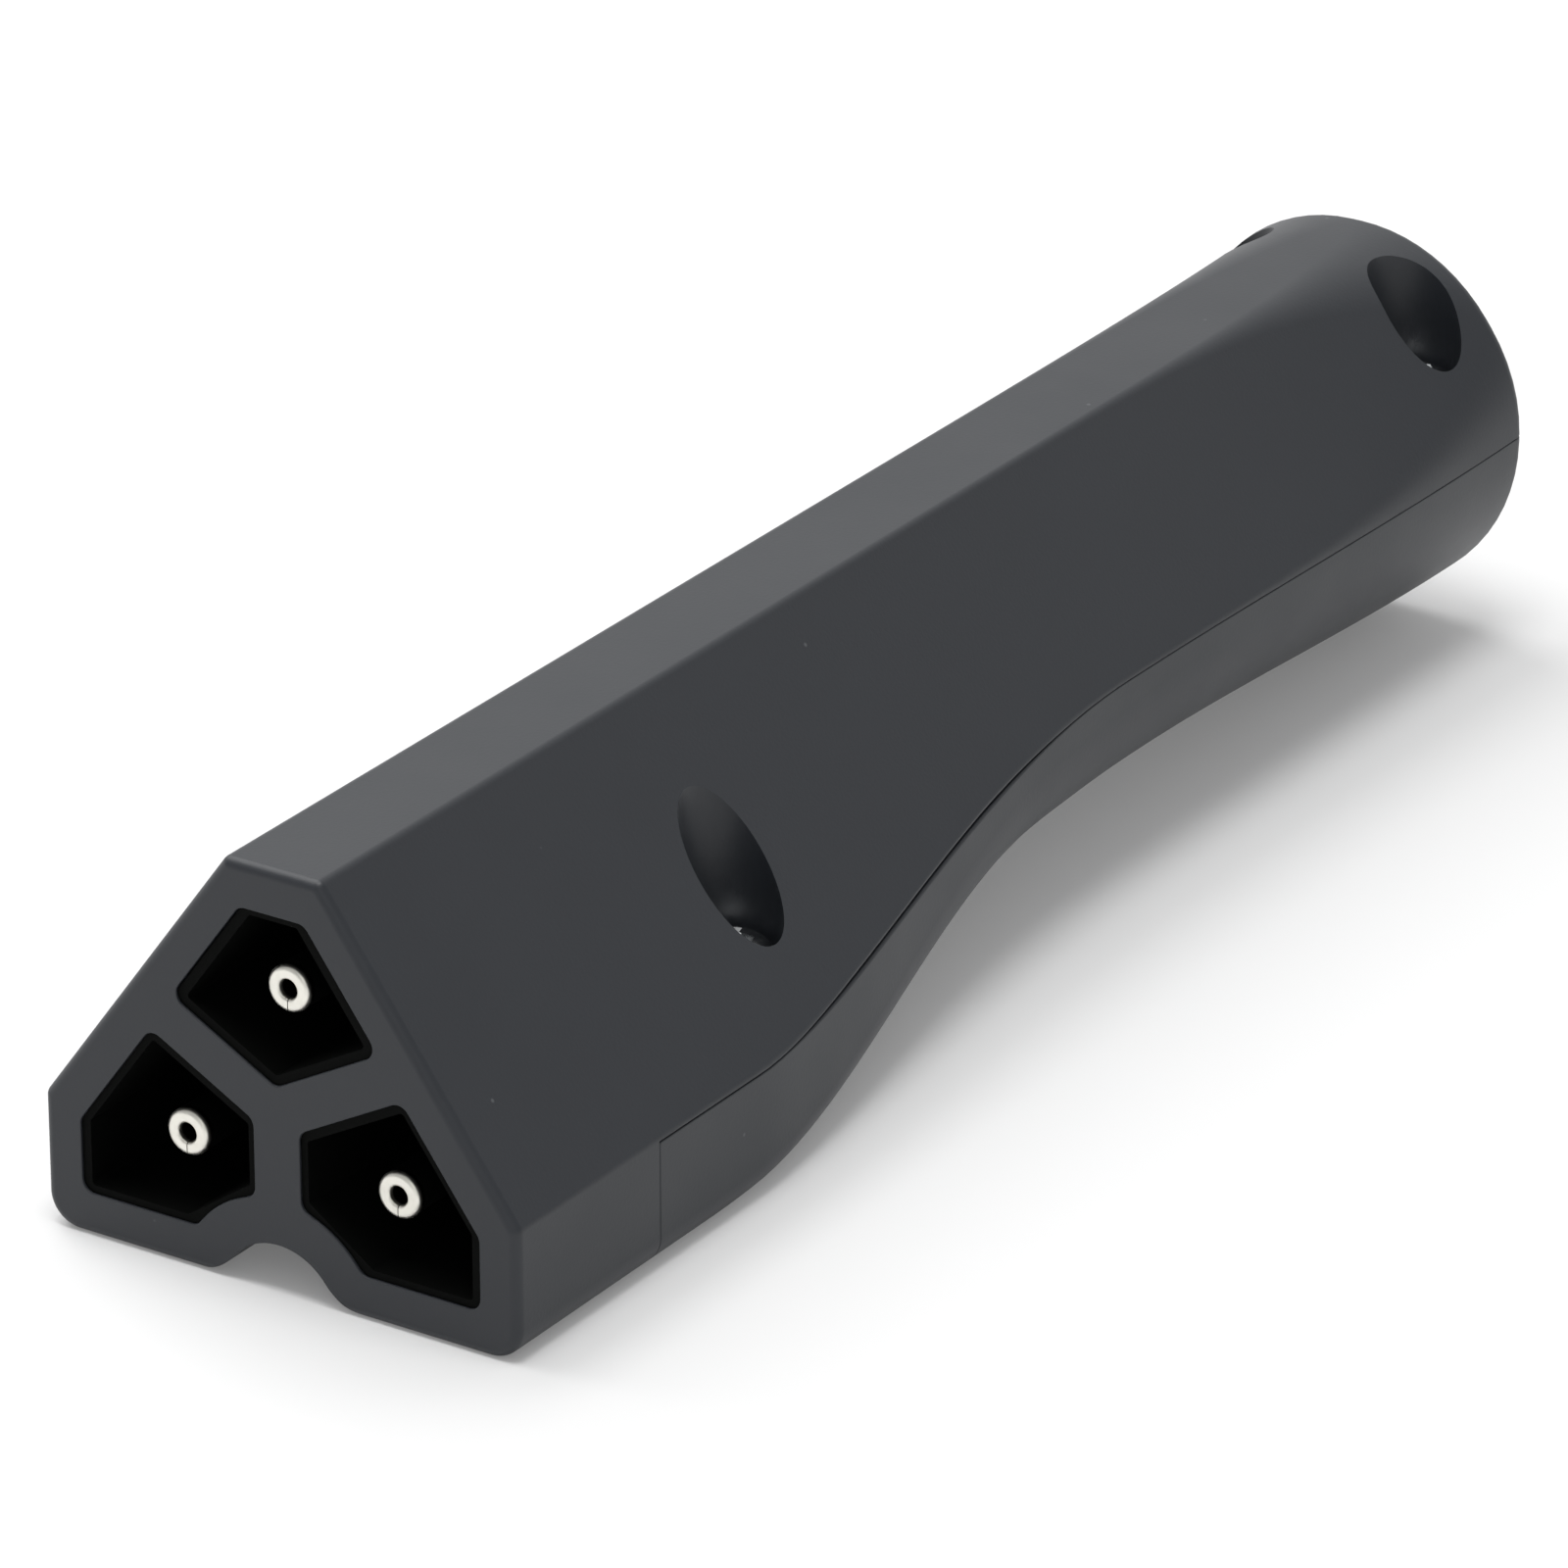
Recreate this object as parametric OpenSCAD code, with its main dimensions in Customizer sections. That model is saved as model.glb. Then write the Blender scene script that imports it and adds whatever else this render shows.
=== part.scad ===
// Hand-held charger plug with three recessed contacts and a long two-piece handle.
// Y runs from the mating face of the nose back to the cable end, X is the width
// and Z is up. The origin is in the mating face, at the point where the three webs
// between the wells meet. Heights in this file are measured from the flat underside
// of the nose, and each sub-part is then lowered to the origin. Sizes are in mm.

/* [Outer form] */
// Width of the nose over its two side walls
nose_w = 52; // [48:0.5:56]
// Height from the flat underside of the nose to the flat ridge
body_h = 41.8; // [40:0.2:45]
// Width of the flat ridge between the two sharp corners that its edges would have
ridge_w = 10.3; // [9:0.1:12]
// Height of the vertical side walls at the nose
side_h = 13.2; // [12:0.2:15]
// Whole length from the mating face to the cable end
body_l = 189.6; // [180:0.2:210]
// Width of the handle at its waist
waist_w = 38.1; // [36:0.1:41]
// Diameter of the round cable end
end_d = 39.4; // [38:0.2:41]
// Place along the length where the sides begin to draw in
curve_y0 = 39.5; // [38:0.5:46]
// Place along the length where the waist is reached
curve_y1 = 113.5; // [100:0.5:118]
// Lead of the draw-in between those places: below 1 makes it earlier
curve_lead = 0.825; // [0.7:0.025:1.2]
// Place where the underside starts to lift
belly_y0 = 31.8; // [28:0.2:37]
// Place where the underside is highest
belly_y1 = 104.3; // [84:0.1:110]
// Drop of the ridge down to the top of the round end
end_drop = 0.4; // [0:0.1:1]
// Place where the underside starts to fall to the round end
fall_y = 112; // [104:1:124]
// How far the underside lifts above the nose
belly_h = 8.3; // [5:0.1:9]
// Place where the flat faces start to swell into the round end
swell_y = 100; // [96:1:118]

/* [Edges] */
// Radius of the edge round the mating face
face_edge = 1; // [0.6:0.1:1.6]
// Radius of the two long ridge edges
ridge_edge = 1; // [0.6:0.1:2]
// Drop from the sharp shoulder corner to the parting line
shoulder_drop = 0.35; // [0.2:0.05:0.6]
// Radius of the bottom corners at the nose
bottom_edge = 3.3; // [2:0.1:5]
// Radius of the bottom corners at the waist
belly_edge = 10.6; // [9:0.2:13]
// Radius of the rim of the cable end
rim_edge = 1.6; // [1:0.1:2.4]

/* [Housings] */
// Wall of both housings behind the nose
wall = 2.8; // [2.2:0.1:3.4]
// Length of the nose moulding ahead of the lower housing
seam_y = 22.4; // [21:0.2:26]
// Open gap between the two housings
part_gap = 0.2; // [0.1:0.05:0.4]
// Thickness of the wall at the cable end
end_wall = 6; // [5:0.5:8]
// Thickness of the inner ribs
rib_t = 1.6; // [1.2:0.1:2.4]
// Height of the inner ribs above the wall
rib_h = 2.4; // [1.6:0.1:3]
// Pitch of the inner ribs along the handle
rib_pitch = 17; // [14:1:24]

/* [Contact wells] */
// Wall between the wells and the outside of the nose
nose_wall = 3.9; // [3.4:0.1:4.4]
// Thickness of the three webs that part the wells
web_t = 4.2; // [3.6:0.1:5]
// Height of the point where the three webs meet
hub_z = 17.9; // [17:0.1:19]
// Slope of the two upper webs in degrees
web_slope = 28.5; // [24:0.5:32]
// Corner radius of the wells
well_r = 1.3; // [1.2:0.1:2]
// Slope of the well edge that clears the key groove in degrees
bevel_slope = 35; // [30:1:40]
// Distance from the centre line to the foot of that edge
bevel_x = 9.8; // [9:0.1:11]

/* [Key groove] */
// Width of the groove under the nose
key_w = 20; // [18:0.5:22]
// Height of the groove
key_h = 4.85; // [4:0.05:5.5]
// Length of the groove
key_l = 19.5; // [16:0.5:20]

/* [Contact carrier] */
// Play between the carrier and the housings round it
carrier_play = 0.15; // [0.1:0.05:0.3]
// Wall of the three cups that line the wells
cup_t = 1; // [0.8:0.1:1.4]
// Distance of the cup rims behind the mating face
cup_set = 0.3; // [0.2:0.1:1.5]
// Depth of the cup floors behind the mating face
well_depth = 17.5; // [15:0.5:19]
// Length of the carrier block behind the nose
block_l = 9; // [8:0.5:10]
// Thickness of the retainer plate
retainer_t = 2.5; // [2:0.1:3]

/* [Contacts] */
// Diameter of the bare contact tip
tip_d = 4.6; // [4.4:0.1:5.2]
// Distance of the tips behind the mating face
tip_set = 2.2; // [1.5:0.1:3]
// Length of the bare tip
tip_l = 1.2; // [1:0.1:2]
// Diameter of the socket bore in each tip
socket_d = 1.9; // [1.6:0.05:2.2]
// Depth of the socket bore
socket_l = 8; // [6:0.5:10]
// Diameter of the contact shank inside its sleeve
shank_d = 3.8; // [3.4:0.1:4]
// Play between the shank and its sleeve all round
sleeve_play = 0.05; // [0.03:0.01:0.1]
// Thickness of the collar that locks each contact
collar_t = 3; // [2:0.1:4]
// Diameter of the collar
collar_d = 7.8; // [7.4:0.1:8.4]
// Diameter of the wire barrel
barrel_d = 6.8; // [6.2:0.1:7]
// Length of the wire barrel behind the retainer plate
barrel_l = 8; // [7:0.2:8.4]
// Bore for the bare wire
wire_d = 3.8; // [3.2:0.1:4.4]
// Spacing of the two lower contacts
contact_pitch = 23.2; // [22:0.1:25]
// Height of the two lower contacts
contact_low = 12; // [11.5:0.1:13]
// Distance of the upper contact below the ridge
contact_drop = 12.5; // [11.5:0.1:13.5]
// Width of the slit in each contact tip
slit_w = 0.2; // [0.15:0.05:0.6]

/* [Screws] */
// Diameter of the screw wells in the sloping faces
recess_d = 9.7; // [9:0.1:10]
// Wall round the screw wells
boss_t = 1.4; // [1:0.1:1.8]
// Distance of the front screws behind the mating face
screw_y0 = 49.3; // [48:0.1:54]
// How far the front housing screws stand inside the sides of the nose
screw_side = 10.1; // [9.5:0.1:11]
// Height of the seats of the front screw heads
seat_z0 = 17.6; // [16.8:0.1:18.5]
// Distance of the rear screws ahead of the cable end
screw_y1 = 8.3; // [8:0.1:10]
// Distance of the rear screws from the centre line
screw_x1 = 11.1; // [11:0.1:11.8]
// Height of the seats of the rear screw heads
seat_z1 = 27.6; // [27:0.2:29]
// Diameter of the housing screw shanks
screw_d = 3.8; // [3:0.1:4.2]
// Diameter of the housing screw heads
head_d = 7.6; // [6.6:0.1:8.6]
// Height of the housing screw heads
head_h = 2.6; // [2:0.1:3.2]
// Play round a screw shank where its thread bites
screw_play = 0.05; // [0.05:0.01:0.2]
// Play round a screw shank where it passes through
pass_play = 0.2; // [0.15:0.05:0.4]
// Length of the housing screw shanks
screw_l = 13; // [11:0.5:13]
// Diameter of the lower housing's screw bosses
post_d = 8.4; // [7.4:0.1:9]

/* [Cord clamp and grommet] */
// Diameter of the cord that the plug takes
cord_d = 10.8; // [9:0.1:11]
// Place of the cord clamp ahead of the cable end
clamp_y = 36; // [34:1:44]
// Width of the cord clamp along the cord
clamp_w = 8; // [6:0.5:10]
// Thickness of the clamp over the cord
clamp_t = 2.5; // [2:0.1:3]
// Spacing of the two clamp screws
clamp_pitch = 21.6; // [21.4:0.1:23]
// Diameter of the clamp screws
clamp_screw_d = 2.9; // [2.5:0.1:3.2]
// Diameter of the grommet where it passes the end wall
grommet_d = 15.8; // [14:0.1:16.4]
// Diameter of the grommet's locking flange
flange_d = 19; // [18:0.1:20]
// Width of the grommet's locking flange
flange_t = 2; // [1.5:0.1:3]

/* [Hidden] */
$fn = 48;

// Steps in each rounded corner of the outer form: bottom, shoulder, ridge
corner_steps = [8, 4, 6];
// Distance between the stations of the outer form, halved near the cable end, and of the hollow
station_gap = 6;
end_zone = 42;
hollow_gap = 12;
// Rate at which the faces swell into the round end, and the edges soften
swell_rate = 4.4;
soften_rate = 4.7;
// How far the corner arcs of the cable end stay short of a full circle
end_flat = 0.5;
// Step of the moulding's witness line where the nose meets the shell
witness = 0.03;
eps = 0.5;

end_r = end_d / 2;
end_z = body_h - end_drop - end_r;
slope_dir = 90 - atan2(body_h - side_h, (nose_w - ridge_w) / 2);
slope_0 = nose_w / 2 * cos(slope_dir) + side_h * sin(slope_dir);
slope_1 = end_z * sin(slope_dir) + end_r;
arc_r = end_r - end_flat;

// Curves along the length

// Smooth step from 0 at a to 1 at b, which a lead below 1 makes earlier
function ramp(a, b, y, lead = 1) = let (s = pow(max(0, min(1, (y - a) / (b - a))), lead))
    s * s * (3 - 2 * s);
function swell(y, rate) = pow(max(0, (y - swell_y) / (body_l - swell_y)), rate);
function half_w(y) = nose_w / 2 - (nose_w - waist_w) / 2 * ramp(curve_y0, curve_y1, y, curve_lead)
    + (end_d - waist_w) / 2 * ramp(curve_y1, body_l, y);
function under_z(y) = belly_h * ramp(belly_y0, belly_y1, y)
    + (end_z - end_r - belly_h) * ramp(fall_y, body_l, y);
function ridge_z(y) = body_h - end_drop * swell(y, swell_rate);
function slope_at(y) = slope_0 + (slope_1 - slope_0) * swell(y, swell_rate);
// Height at which a sloping face at distance d meets the side wall
function shoulder_z(w, d) = (d - w * cos(slope_dir)) / sin(slope_dir);
end_lift = shoulder_z(end_r, slope_1) - arc_r * tan(slope_dir / 2)
    - shoulder_z(end_r, slope_0) + shoulder_drop;
function part_z(y) = shoulder_z(half_w(y), slope_0) - shoulder_drop
    + end_lift * swell(y, swell_rate);
function shoulder_r(y) = (shoulder_z(half_w(y), slope_at(y)) - part_z(y)) / tan(slope_dir / 2);
function ridge_r(y) = ridge_edge + (arc_r - ridge_edge) * swell(y, soften_rate);
function bottom_r(y) = bottom_edge + (belly_edge - bottom_edge) * ramp(curve_y0, swell_y, y)
    + (arc_r - belly_edge) * ramp(swell_y, body_l, y);

// Outlines from straight edges

// An edge is [direction of its outward normal, distance from the origin]
function meet(a, b) = let (k = sin(b[0] - a[0]))
    [(a[1] * sin(b[0]) - b[1] * sin(a[0])) / k, (b[1] * cos(a[0]) - a[1] * cos(b[0])) / k];
// The arc that rounds the corner between edges a and b, moved in by inset
function corner(a, b, r, inset, n) = let (
    rr = max(r - inset, 0.4),
    c = meet([a[0], a[1] - inset - rr], [b[0], b[1] - inset - rr])
) [for (i = [0:n]) let (t = a[0] + (b[0] - a[0]) * i / n) c + rr * [cos(t), sin(t)]];
// Closed outline of a convex shape from its edges in turn
function outline(edges, r, inset, n) = [
    for (i = [0:len(edges) - 1]) let (
        a = edges[i],
        b = i + 1 < len(edges) ? edges[i + 1] : [edges[0][0] + 360, edges[0][1]]
    ) each corner(a, b, r, inset, n)
];

function body_edges(y) = [
    [-90, -under_z(y)], [0, half_w(y)], [slope_dir, slope_at(y)],
    [90, ridge_z(y)], [180 - slope_dir, slope_at(y)], [180, half_w(y)], [270, -under_z(y)]
];
function bottom_arcs(y, inset, n) = let (e = body_edges(y)) concat(
    corner(e[5], e[6], bottom_r(y), inset, n), corner(e[0], e[1], bottom_r(y), inset, n));
function top_arcs(y, inset, n, m) = let (e = body_edges(y)) concat(
    corner(e[1], e[2], shoulder_r(y), inset, n), corner(e[2], e[3], ridge_r(y), inset, m),
    corner(e[3], e[4], ridge_r(y), inset, m), corner(e[4], e[5], shoulder_r(y), inset, n));

// Sections of the body: whole, above the parting line, below the parting line
function whole_section(y, inset, n) = concat(
    bottom_arcs(y, inset, n[0]), top_arcs(y, inset, n[1], n[2]));
function upper_section(y, inset, n) = top_arcs(y, inset, n[1], n[2]);
function lower_section(y, inset, n) = concat(
    bottom_arcs(y, inset, n[0]),
    [[half_w(y) - inset, part_z(y) - part_gap], [inset - half_w(y), part_z(y) - part_gap]]);

// Edges of the upper well, of a lower well and of the space behind the nose
top_well = [
    [90, body_h - nose_wall], [180 - slope_dir, slope_0 - nose_wall],
    [270 - web_slope, -hub_z * cos(web_slope) - web_t / 2],
    [270 + web_slope, -hub_z * cos(web_slope) - web_t / 2],
    [360 + slope_dir, slope_0 - nose_wall]
];
side_well = [
    [0, nose_w / 2 - nose_wall], [slope_dir, slope_0 - nose_wall],
    [90 + web_slope, hub_z * cos(web_slope) - web_t / 2],
    [180, -web_t / 2],
    [270 - bevel_slope, -bevel_x * sin(bevel_slope) - nose_wall * cos(bevel_slope)],
    [270, -nose_wall]
];
block_edges = [
    [-90, 0], [0, nose_w / 2], [slope_dir, slope_0],
    [90, body_h], [180 - slope_dir, slope_0], [180, nose_w / 2]
];

// Places of the inner pieces
contact_high = body_h - contact_drop;
screw_x0 = nose_w / 2 - screw_side;
contact_at = [[0, contact_high], [-contact_pitch / 2, contact_low], [contact_pitch / 2, contact_low]];
block_y = seam_y + carrier_play;
retainer_y = block_y + block_l + carrier_play;
collar_y = block_y + block_l - collar_t;
barrel_end = retainer_y + retainer_t + barrel_l;
sleeve_d = tip_d - 0.1;
sleeve_end = well_depth + 2.5;
retainer_screw_at = [9.5, 21.5];
rear_screw_y = body_l - screw_y1;
clamp_mid = body_l - clamp_y;
hollow_end = body_l - end_wall;
clamp_seat = end_z - 1.7;
clamp_post_d = 7.2;
clamp_screw_l = 8;
retainer_screw_d = 2.8;
retainer_bite = 6;
small_head_d = 5.2;
small_head_h = 1.8;
terminal_d = 2.5;
terminal_head_d = 4.2;
terminal_head_h = 1.5;
terminal_bite = 2.2;
terminal_y = barrel_end - 3.2;
tip_round = 0.5;
tip_rim = 0.2;
grommet_y = hollow_end - 2;
flange_y = hollow_end + 2;
rib_places = concat(
    [retainer_y + retainer_t + carrier_play],
    [for (y = [screw_y0 + rib_pitch:rib_pitch:clamp_mid - clamp_w]) y]
);

// Shapes that several sub-parts share

// Lowers a sub-part from heights over the underside to heights over the origin
module at_origin() {
    translate([0, 0, -hub_z]) children();
}
// Skin between sections given at the stations ys
module loft(ys, sections) {
    n = len(sections[0]);
    m = len(ys);
    polyhedron(
        points = [for (j = [0:m - 1]) for (p = sections[j]) [p[0], ys[j], p[1]]],
        faces = concat(
            [[for (i = [0:n - 1]) n - 1 - i]],
            [[for (i = [0:n - 1]) (m - 1) * n + i]],
            [for (j = [0:m - 2]) for (i = [0:n - 1]) let (k = (i + 1) % n)
                [j * n + i, (j + 1) * n + k, (j + 1) * n + i]],
            [for (j = [0:m - 2]) for (i = [0:n - 1]) let (k = (i + 1) % n)
                [j * n + i, j * n + k, (j + 1) * n + k]]
        ),
        convexity = 6
    );
}
// Prism along Y from an outline in X and Z
module prism(y0, y1) {
    translate([0, y1, 0]) rotate([90, 0, 0]) linear_extrude(y1 - y0) children();
}
// Cylinder along Y at a place in X and Z
module rod(at, y0, y1, d) {
    translate([at[0], y1, at[1]]) rotate([90, 0, 0]) cylinder(h = y1 - y0, d = d);
}

face_turns = [90, 60, 30, 0];
rim_turns = [0, 30, 60, 90];
body_stations = concat(
    [seam_y + 3 * witness, belly_y0],
    [for (y = [curve_y0:station_gap:body_l - end_zone - 2]) y],
    [for (y = [body_l - end_zone:station_gap / 2:body_l - rim_edge - 1]) y],
    [for (t = rim_turns) body_l - rim_edge * (1 - sin(t))]
);
function rim_inset(y) = y <= body_l - rim_edge ? 0
    : rim_edge - sqrt(max(0, pow(rim_edge, 2) - pow(y - body_l + rim_edge, 2)));
hollow_stations = concat(
    [seam_y + 3 * witness], [for (y = [curve_y0:hollow_gap:hollow_end - 3]) y], [hollow_end]
);
hollow_steps = [3, 1, 2];

// Inner space of the handle, inset from the outside
module hollow(inset) {
    loft(hollow_stations, [for (y = hollow_stations) whole_section(y, inset, hollow_steps)]);
}
// Ribs that stand into the hollow, the first of them behind the retainer plate
module ribs() {
    for (y = rib_places) prism(y, y + rib_t) difference() {
        translate([-nose_w / 2, 0]) square([nose_w, body_h]);
        polygon(whole_section(y, wall + rib_h, hollow_steps));
    }
}
// Groove with a round crown and round lips
module key_groove() {
    r = (pow(key_w / 2, 2) + pow(key_h, 2)) / (4 * key_h);
    prism(-1, key_l) {
        difference() {
            translate([-key_w / 2, -1]) square([key_w, 1 + key_h / 2]);
            for (s = [-1, 1]) translate([s * key_w / 2, r]) circle(r, $fn = 96);
        }
        intersection() {
            translate([0, key_h - r]) circle(r, $fn = 96);
            translate([-key_w / 4, key_h / 2 - 0.01]) square([key_w / 2, key_h]);
        }
    }
}
module well_outline(i, inset) {
    if (i == 0) polygon(outline(top_well, well_r, inset, 5));
    else mirror([i == 1 ? 1 : 0, 0]) polygon(outline(side_well, well_r, inset, 5));
}
// Places of the housing screws: x, y, seat height
function screw_place(front, side) = front ? [side * screw_x0, screw_y0, seat_z0]
    : [side * screw_x1, rear_screw_y, seat_z1];
module at_screws() {
    for (front = [true, false], side = [-1, 1]) translate(screw_place(front, side)) children();
}

module at_clamp_screws() {
    for (s = [-1, 1]) translate([s * clamp_pitch / 2, clamp_mid, clamp_seat]) children();
}
// Block under the cord with a round seat for it
module saddle() {
    difference() {
        prism(clamp_mid - clamp_w / 2, clamp_mid + clamp_w / 2)
            translate([-cord_d / 2 - rib_t, 0]) square([cord_d + 2 * rib_t, clamp_seat - eps]);
        rod([0, end_z], clamp_mid - clamp_w, clamp_mid + clamp_w, cord_d);
    }
}
// Round opening of the cable end, with the groove for the grommet's flange and
// the way of the cord between the rear screw bosses
module grommet_seat() {
    rod([0, end_z], rear_screw_y - post_d, hollow_end, cord_d + 1);
    rod([0, end_z], grommet_y - carrier_play, body_l + 1, grommet_d + 2 * carrier_play);
    rod([0, end_z], flange_y, flange_y + flange_t + screw_play, flange_d + 2 * carrier_play);
}
// Outline of what fits inside the housings right behind the nose
module inner_outline() {
    polygon(outline(block_edges, bottom_edge, wall + carrier_play, 5));
}
// Screw with a domed head above z = 0, a cross recess and a shank below
module cross_screw(d, h, shank, l) {
    difference() {
        union() {
            rotate_extrude() polygon(concat([[0, 0], [d / 2, 0], [d / 2, h * 0.35]],
                [for (t = [20:20:80]) [d / 2 * cos(t), h * (0.35 + 0.65 * sin(t))]], [[0, h]]));
            translate([0, 0, -l]) cylinder(h = l + 0.1, d = shank);
        }
        for (a = [0, 90]) rotate(a) translate([-d * 0.3, -d * 0.075, h * 0.45]) cube([d * 0.6, d * 0.15, h]);
    }
}

// Upper half of the handle and the whole nose, moulded in one
module upper_housing() color([0.21, 0.22, 0.23]) at_origin() {
    nose_ys = concat([for (t = face_turns) face_edge * (1 - sin(t))], [seam_y]);
    nose = concat([for (t = face_turns) whole_section(0, face_edge * (1 - cos(t)), corner_steps)],
        [whole_section(seam_y, 0, corner_steps)]);
    shell_ys = concat([seam_y - 1, seam_y + witness], body_stations);
    shell = [for (y = shell_ys)
        upper_section(y, y < body_stations[0] ? witness : rim_inset(y), corner_steps)];
    difference() {
        union() {
            loft(nose_ys, nose);
            loft(shell_ys, shell);
        }
        for (i = [0:2]) prism(-1, seam_y + eps) well_outline(i, 0);
        key_groove();
        difference() {
            hollow(wall);
            at_screws() translate([0, 0, -body_h]) cylinder(h = 2 * body_h, d = recess_d + 2 * boss_t);
            ribs();
        }
        at_screws() {
            cylinder(h = body_h, d = recess_d);
            translate([0, 0, -body_h]) cylinder(h = body_h + 1, d = screw_d + 2 * pass_play);
        }
        grommet_seat();
    }
}

module lower_housing() color([0.21, 0.22, 0.23]) at_origin() {
    ys = concat([seam_y + part_gap], [for (i = [1:len(body_stations) - 1]) body_stations[i]]);
    difference() {
        loft(ys, [for (y = ys) lower_section(y, rim_inset(y), corner_steps)]);
        difference() {
            hollow(wall);
            at_screws() translate([0, 0, -body_h]) cylinder(h = 2 * body_h, d = post_d);
            ribs();
            at_clamp_screws() translate([0, 0, -clamp_seat]) cylinder(h = clamp_seat, d = clamp_post_d);
            saddle();
        }
        at_screws() translate([0, 0, -screw_l - eps])
            cylinder(h = body_h, d = screw_d + 2 * screw_play);
        at_clamp_screws() translate([0, 0, -clamp_screw_l - eps])
            cylinder(h = body_h, d = clamp_screw_d + 2 * screw_play);
        grommet_seat();
    }
}

// Insulator with a cup in each well, and a block that fills the nose behind them
module contact_carrier() color([0.05, 0.05, 0.055]) at_origin() {
    block_end = block_y + block_l;
    difference() {
        union() {
            prism(block_y, block_end) inner_outline();
            for (i = [0:2]) prism(cup_set, block_y + eps) well_outline(i, carrier_play);
        }
        for (i = [0:2]) prism(cup_set - 1, well_depth) well_outline(i, carrier_play + cup_t);
        for (at = contact_at) {
            rod(at, well_depth - 1, block_end + 1, tip_d + 2 * carrier_play);
            rod(at, collar_y, block_end + 1, collar_d + 2 * carrier_play);
        }
        for (s = [-1, 1]) rod([s * retainer_screw_at[0], retainer_screw_at[1]],
            block_end - retainer_bite, block_end + 1, retainer_screw_d + 2 * screw_play);
    }
}

// Plate that locks the contact collars into the carrier
module contact_retainer() color([0.05, 0.05, 0.055]) at_origin() {
    difference() {
        prism(retainer_y, retainer_y + retainer_t) inner_outline();
        for (at = contact_at)
            rod(at, retainer_y - 1, retainer_y + retainer_t + 1, barrel_d + 2 * carrier_play);
        for (s = [-1, 1]) rod([s * retainer_screw_at[0], retainer_screw_at[1]],
            retainer_y - 1, retainer_y + retainer_t + 1, retainer_screw_d + 2 * pass_play);
    }
}
module retainer_screw(side) color([0.72, 0.72, 0.7]) at_origin() {
    translate([side * retainer_screw_at[0], retainer_y + retainer_t, retainer_screw_at[1]])
        rotate([-90, 0, 0])
        cross_screw(small_head_d, small_head_h, retainer_screw_d, retainer_t + retainer_bite - eps);
}

// Hollow contact with a rolled tip, a locking collar and a wire barrel
module contact(i) color([0.86, 0.86, 0.83]) at_origin() {
    at = contact_at[i];
    difference() {
        union() {
            translate([at[0], tip_set, at[1]]) rotate([-90, 0, 0]) rotate_extrude()
                polygon(concat([[0, 0]], [for (p = corner([-90, 0], [0, tip_d / 2], tip_round, 0, 4)) p],
                    [for (p = corner([0, tip_d / 2], [90, tip_l], tip_rim, 0, 2)) p], [[0, tip_l]]));
            rod(at, tip_set + tip_l - 0.1, sleeve_end + 0.1, shank_d);
            rod(at, sleeve_end, collar_y + 0.1, tip_d);
            rod(at, collar_y, collar_y + collar_t, collar_d);
            rod(at, collar_y + collar_t - 0.1, barrel_end, barrel_d);
        }
        rod(at, tip_set - 1, tip_set + socket_l, socket_d);
        rod(at, barrel_end - barrel_l - 1, barrel_end + 1, wire_d);
        translate([at[0] - slit_w / 2, tip_set - 1, at[1] - tip_d]) cube([slit_w, socket_l - 2, tip_d]);
        translate([at[0], terminal_y, at[1]]) cylinder(h = barrel_d, d = terminal_d + 2 * screw_play);
    }
}
// Insulating sleeve on the contact shank
module contact_sleeve(i) color([0.05, 0.05, 0.055]) at_origin() {
    y0 = tip_set + tip_l + screw_play;
    y1 = sleeve_end - screw_play;
    difference() {
        rod(contact_at[i], y0, y1, sleeve_d);
        rod(contact_at[i], y0 - 1, y1 + 1, shank_d + 2 * sleeve_play);
    }
}
// Slotted screw that clamps the wire in its barrel
module terminal_screw(i) color([0.78, 0.74, 0.6]) at_origin() {
    at = contact_at[i];
    translate([at[0], terminal_y, at[1]]) difference() {
        union() {
            translate([0, 0, barrel_d / 2 - terminal_bite])
                cylinder(h = terminal_bite + 0.2, d = terminal_d);
            translate([0, 0, barrel_d / 2 + screw_play])
                cylinder(h = terminal_head_h, d = terminal_head_d);
        }
        translate([-terminal_head_d, -0.35, barrel_d / 2 + terminal_head_h / 2])
            cube([2 * terminal_head_d, 0.7, terminal_head_h]);
    }
}

module housing_screw(front, side) color([0.75, 0.75, 0.73]) at_origin() {
    translate(screw_place(front, side)) cross_screw(head_d, head_h, screw_d, screw_l);
}

// Bridge that presses the cord into the saddle of the lower housing
module cord_clamp() color([0.16, 0.165, 0.17]) at_origin() {
    difference() {
        prism(clamp_mid - clamp_w / 2, clamp_mid + clamp_w / 2) difference() {
            union() {
                translate([-clamp_pitch / 2 - clamp_post_d / 2, clamp_seat])
                    square([clamp_pitch + clamp_post_d, clamp_t]);
                intersection() {
                    translate([0, end_z]) circle(d = cord_d + 2 * clamp_t);
                    translate([-cord_d, clamp_seat]) square([2 * cord_d, cord_d + clamp_t]);
                }
            }
            translate([0, end_z]) circle(d = cord_d);
        }
        at_clamp_screws() translate([0, 0, -1])
            cylinder(h = clamp_t + 2, d = clamp_screw_d + 2 * pass_play);
    }
}
module cord_clamp_screw(side) color([0.75, 0.75, 0.73]) at_origin() {
    translate([side * clamp_pitch / 2, clamp_mid, clamp_seat + clamp_t])
        cross_screw(small_head_d, small_head_h, clamp_screw_d, clamp_screw_l + clamp_t - eps);
}

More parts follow.
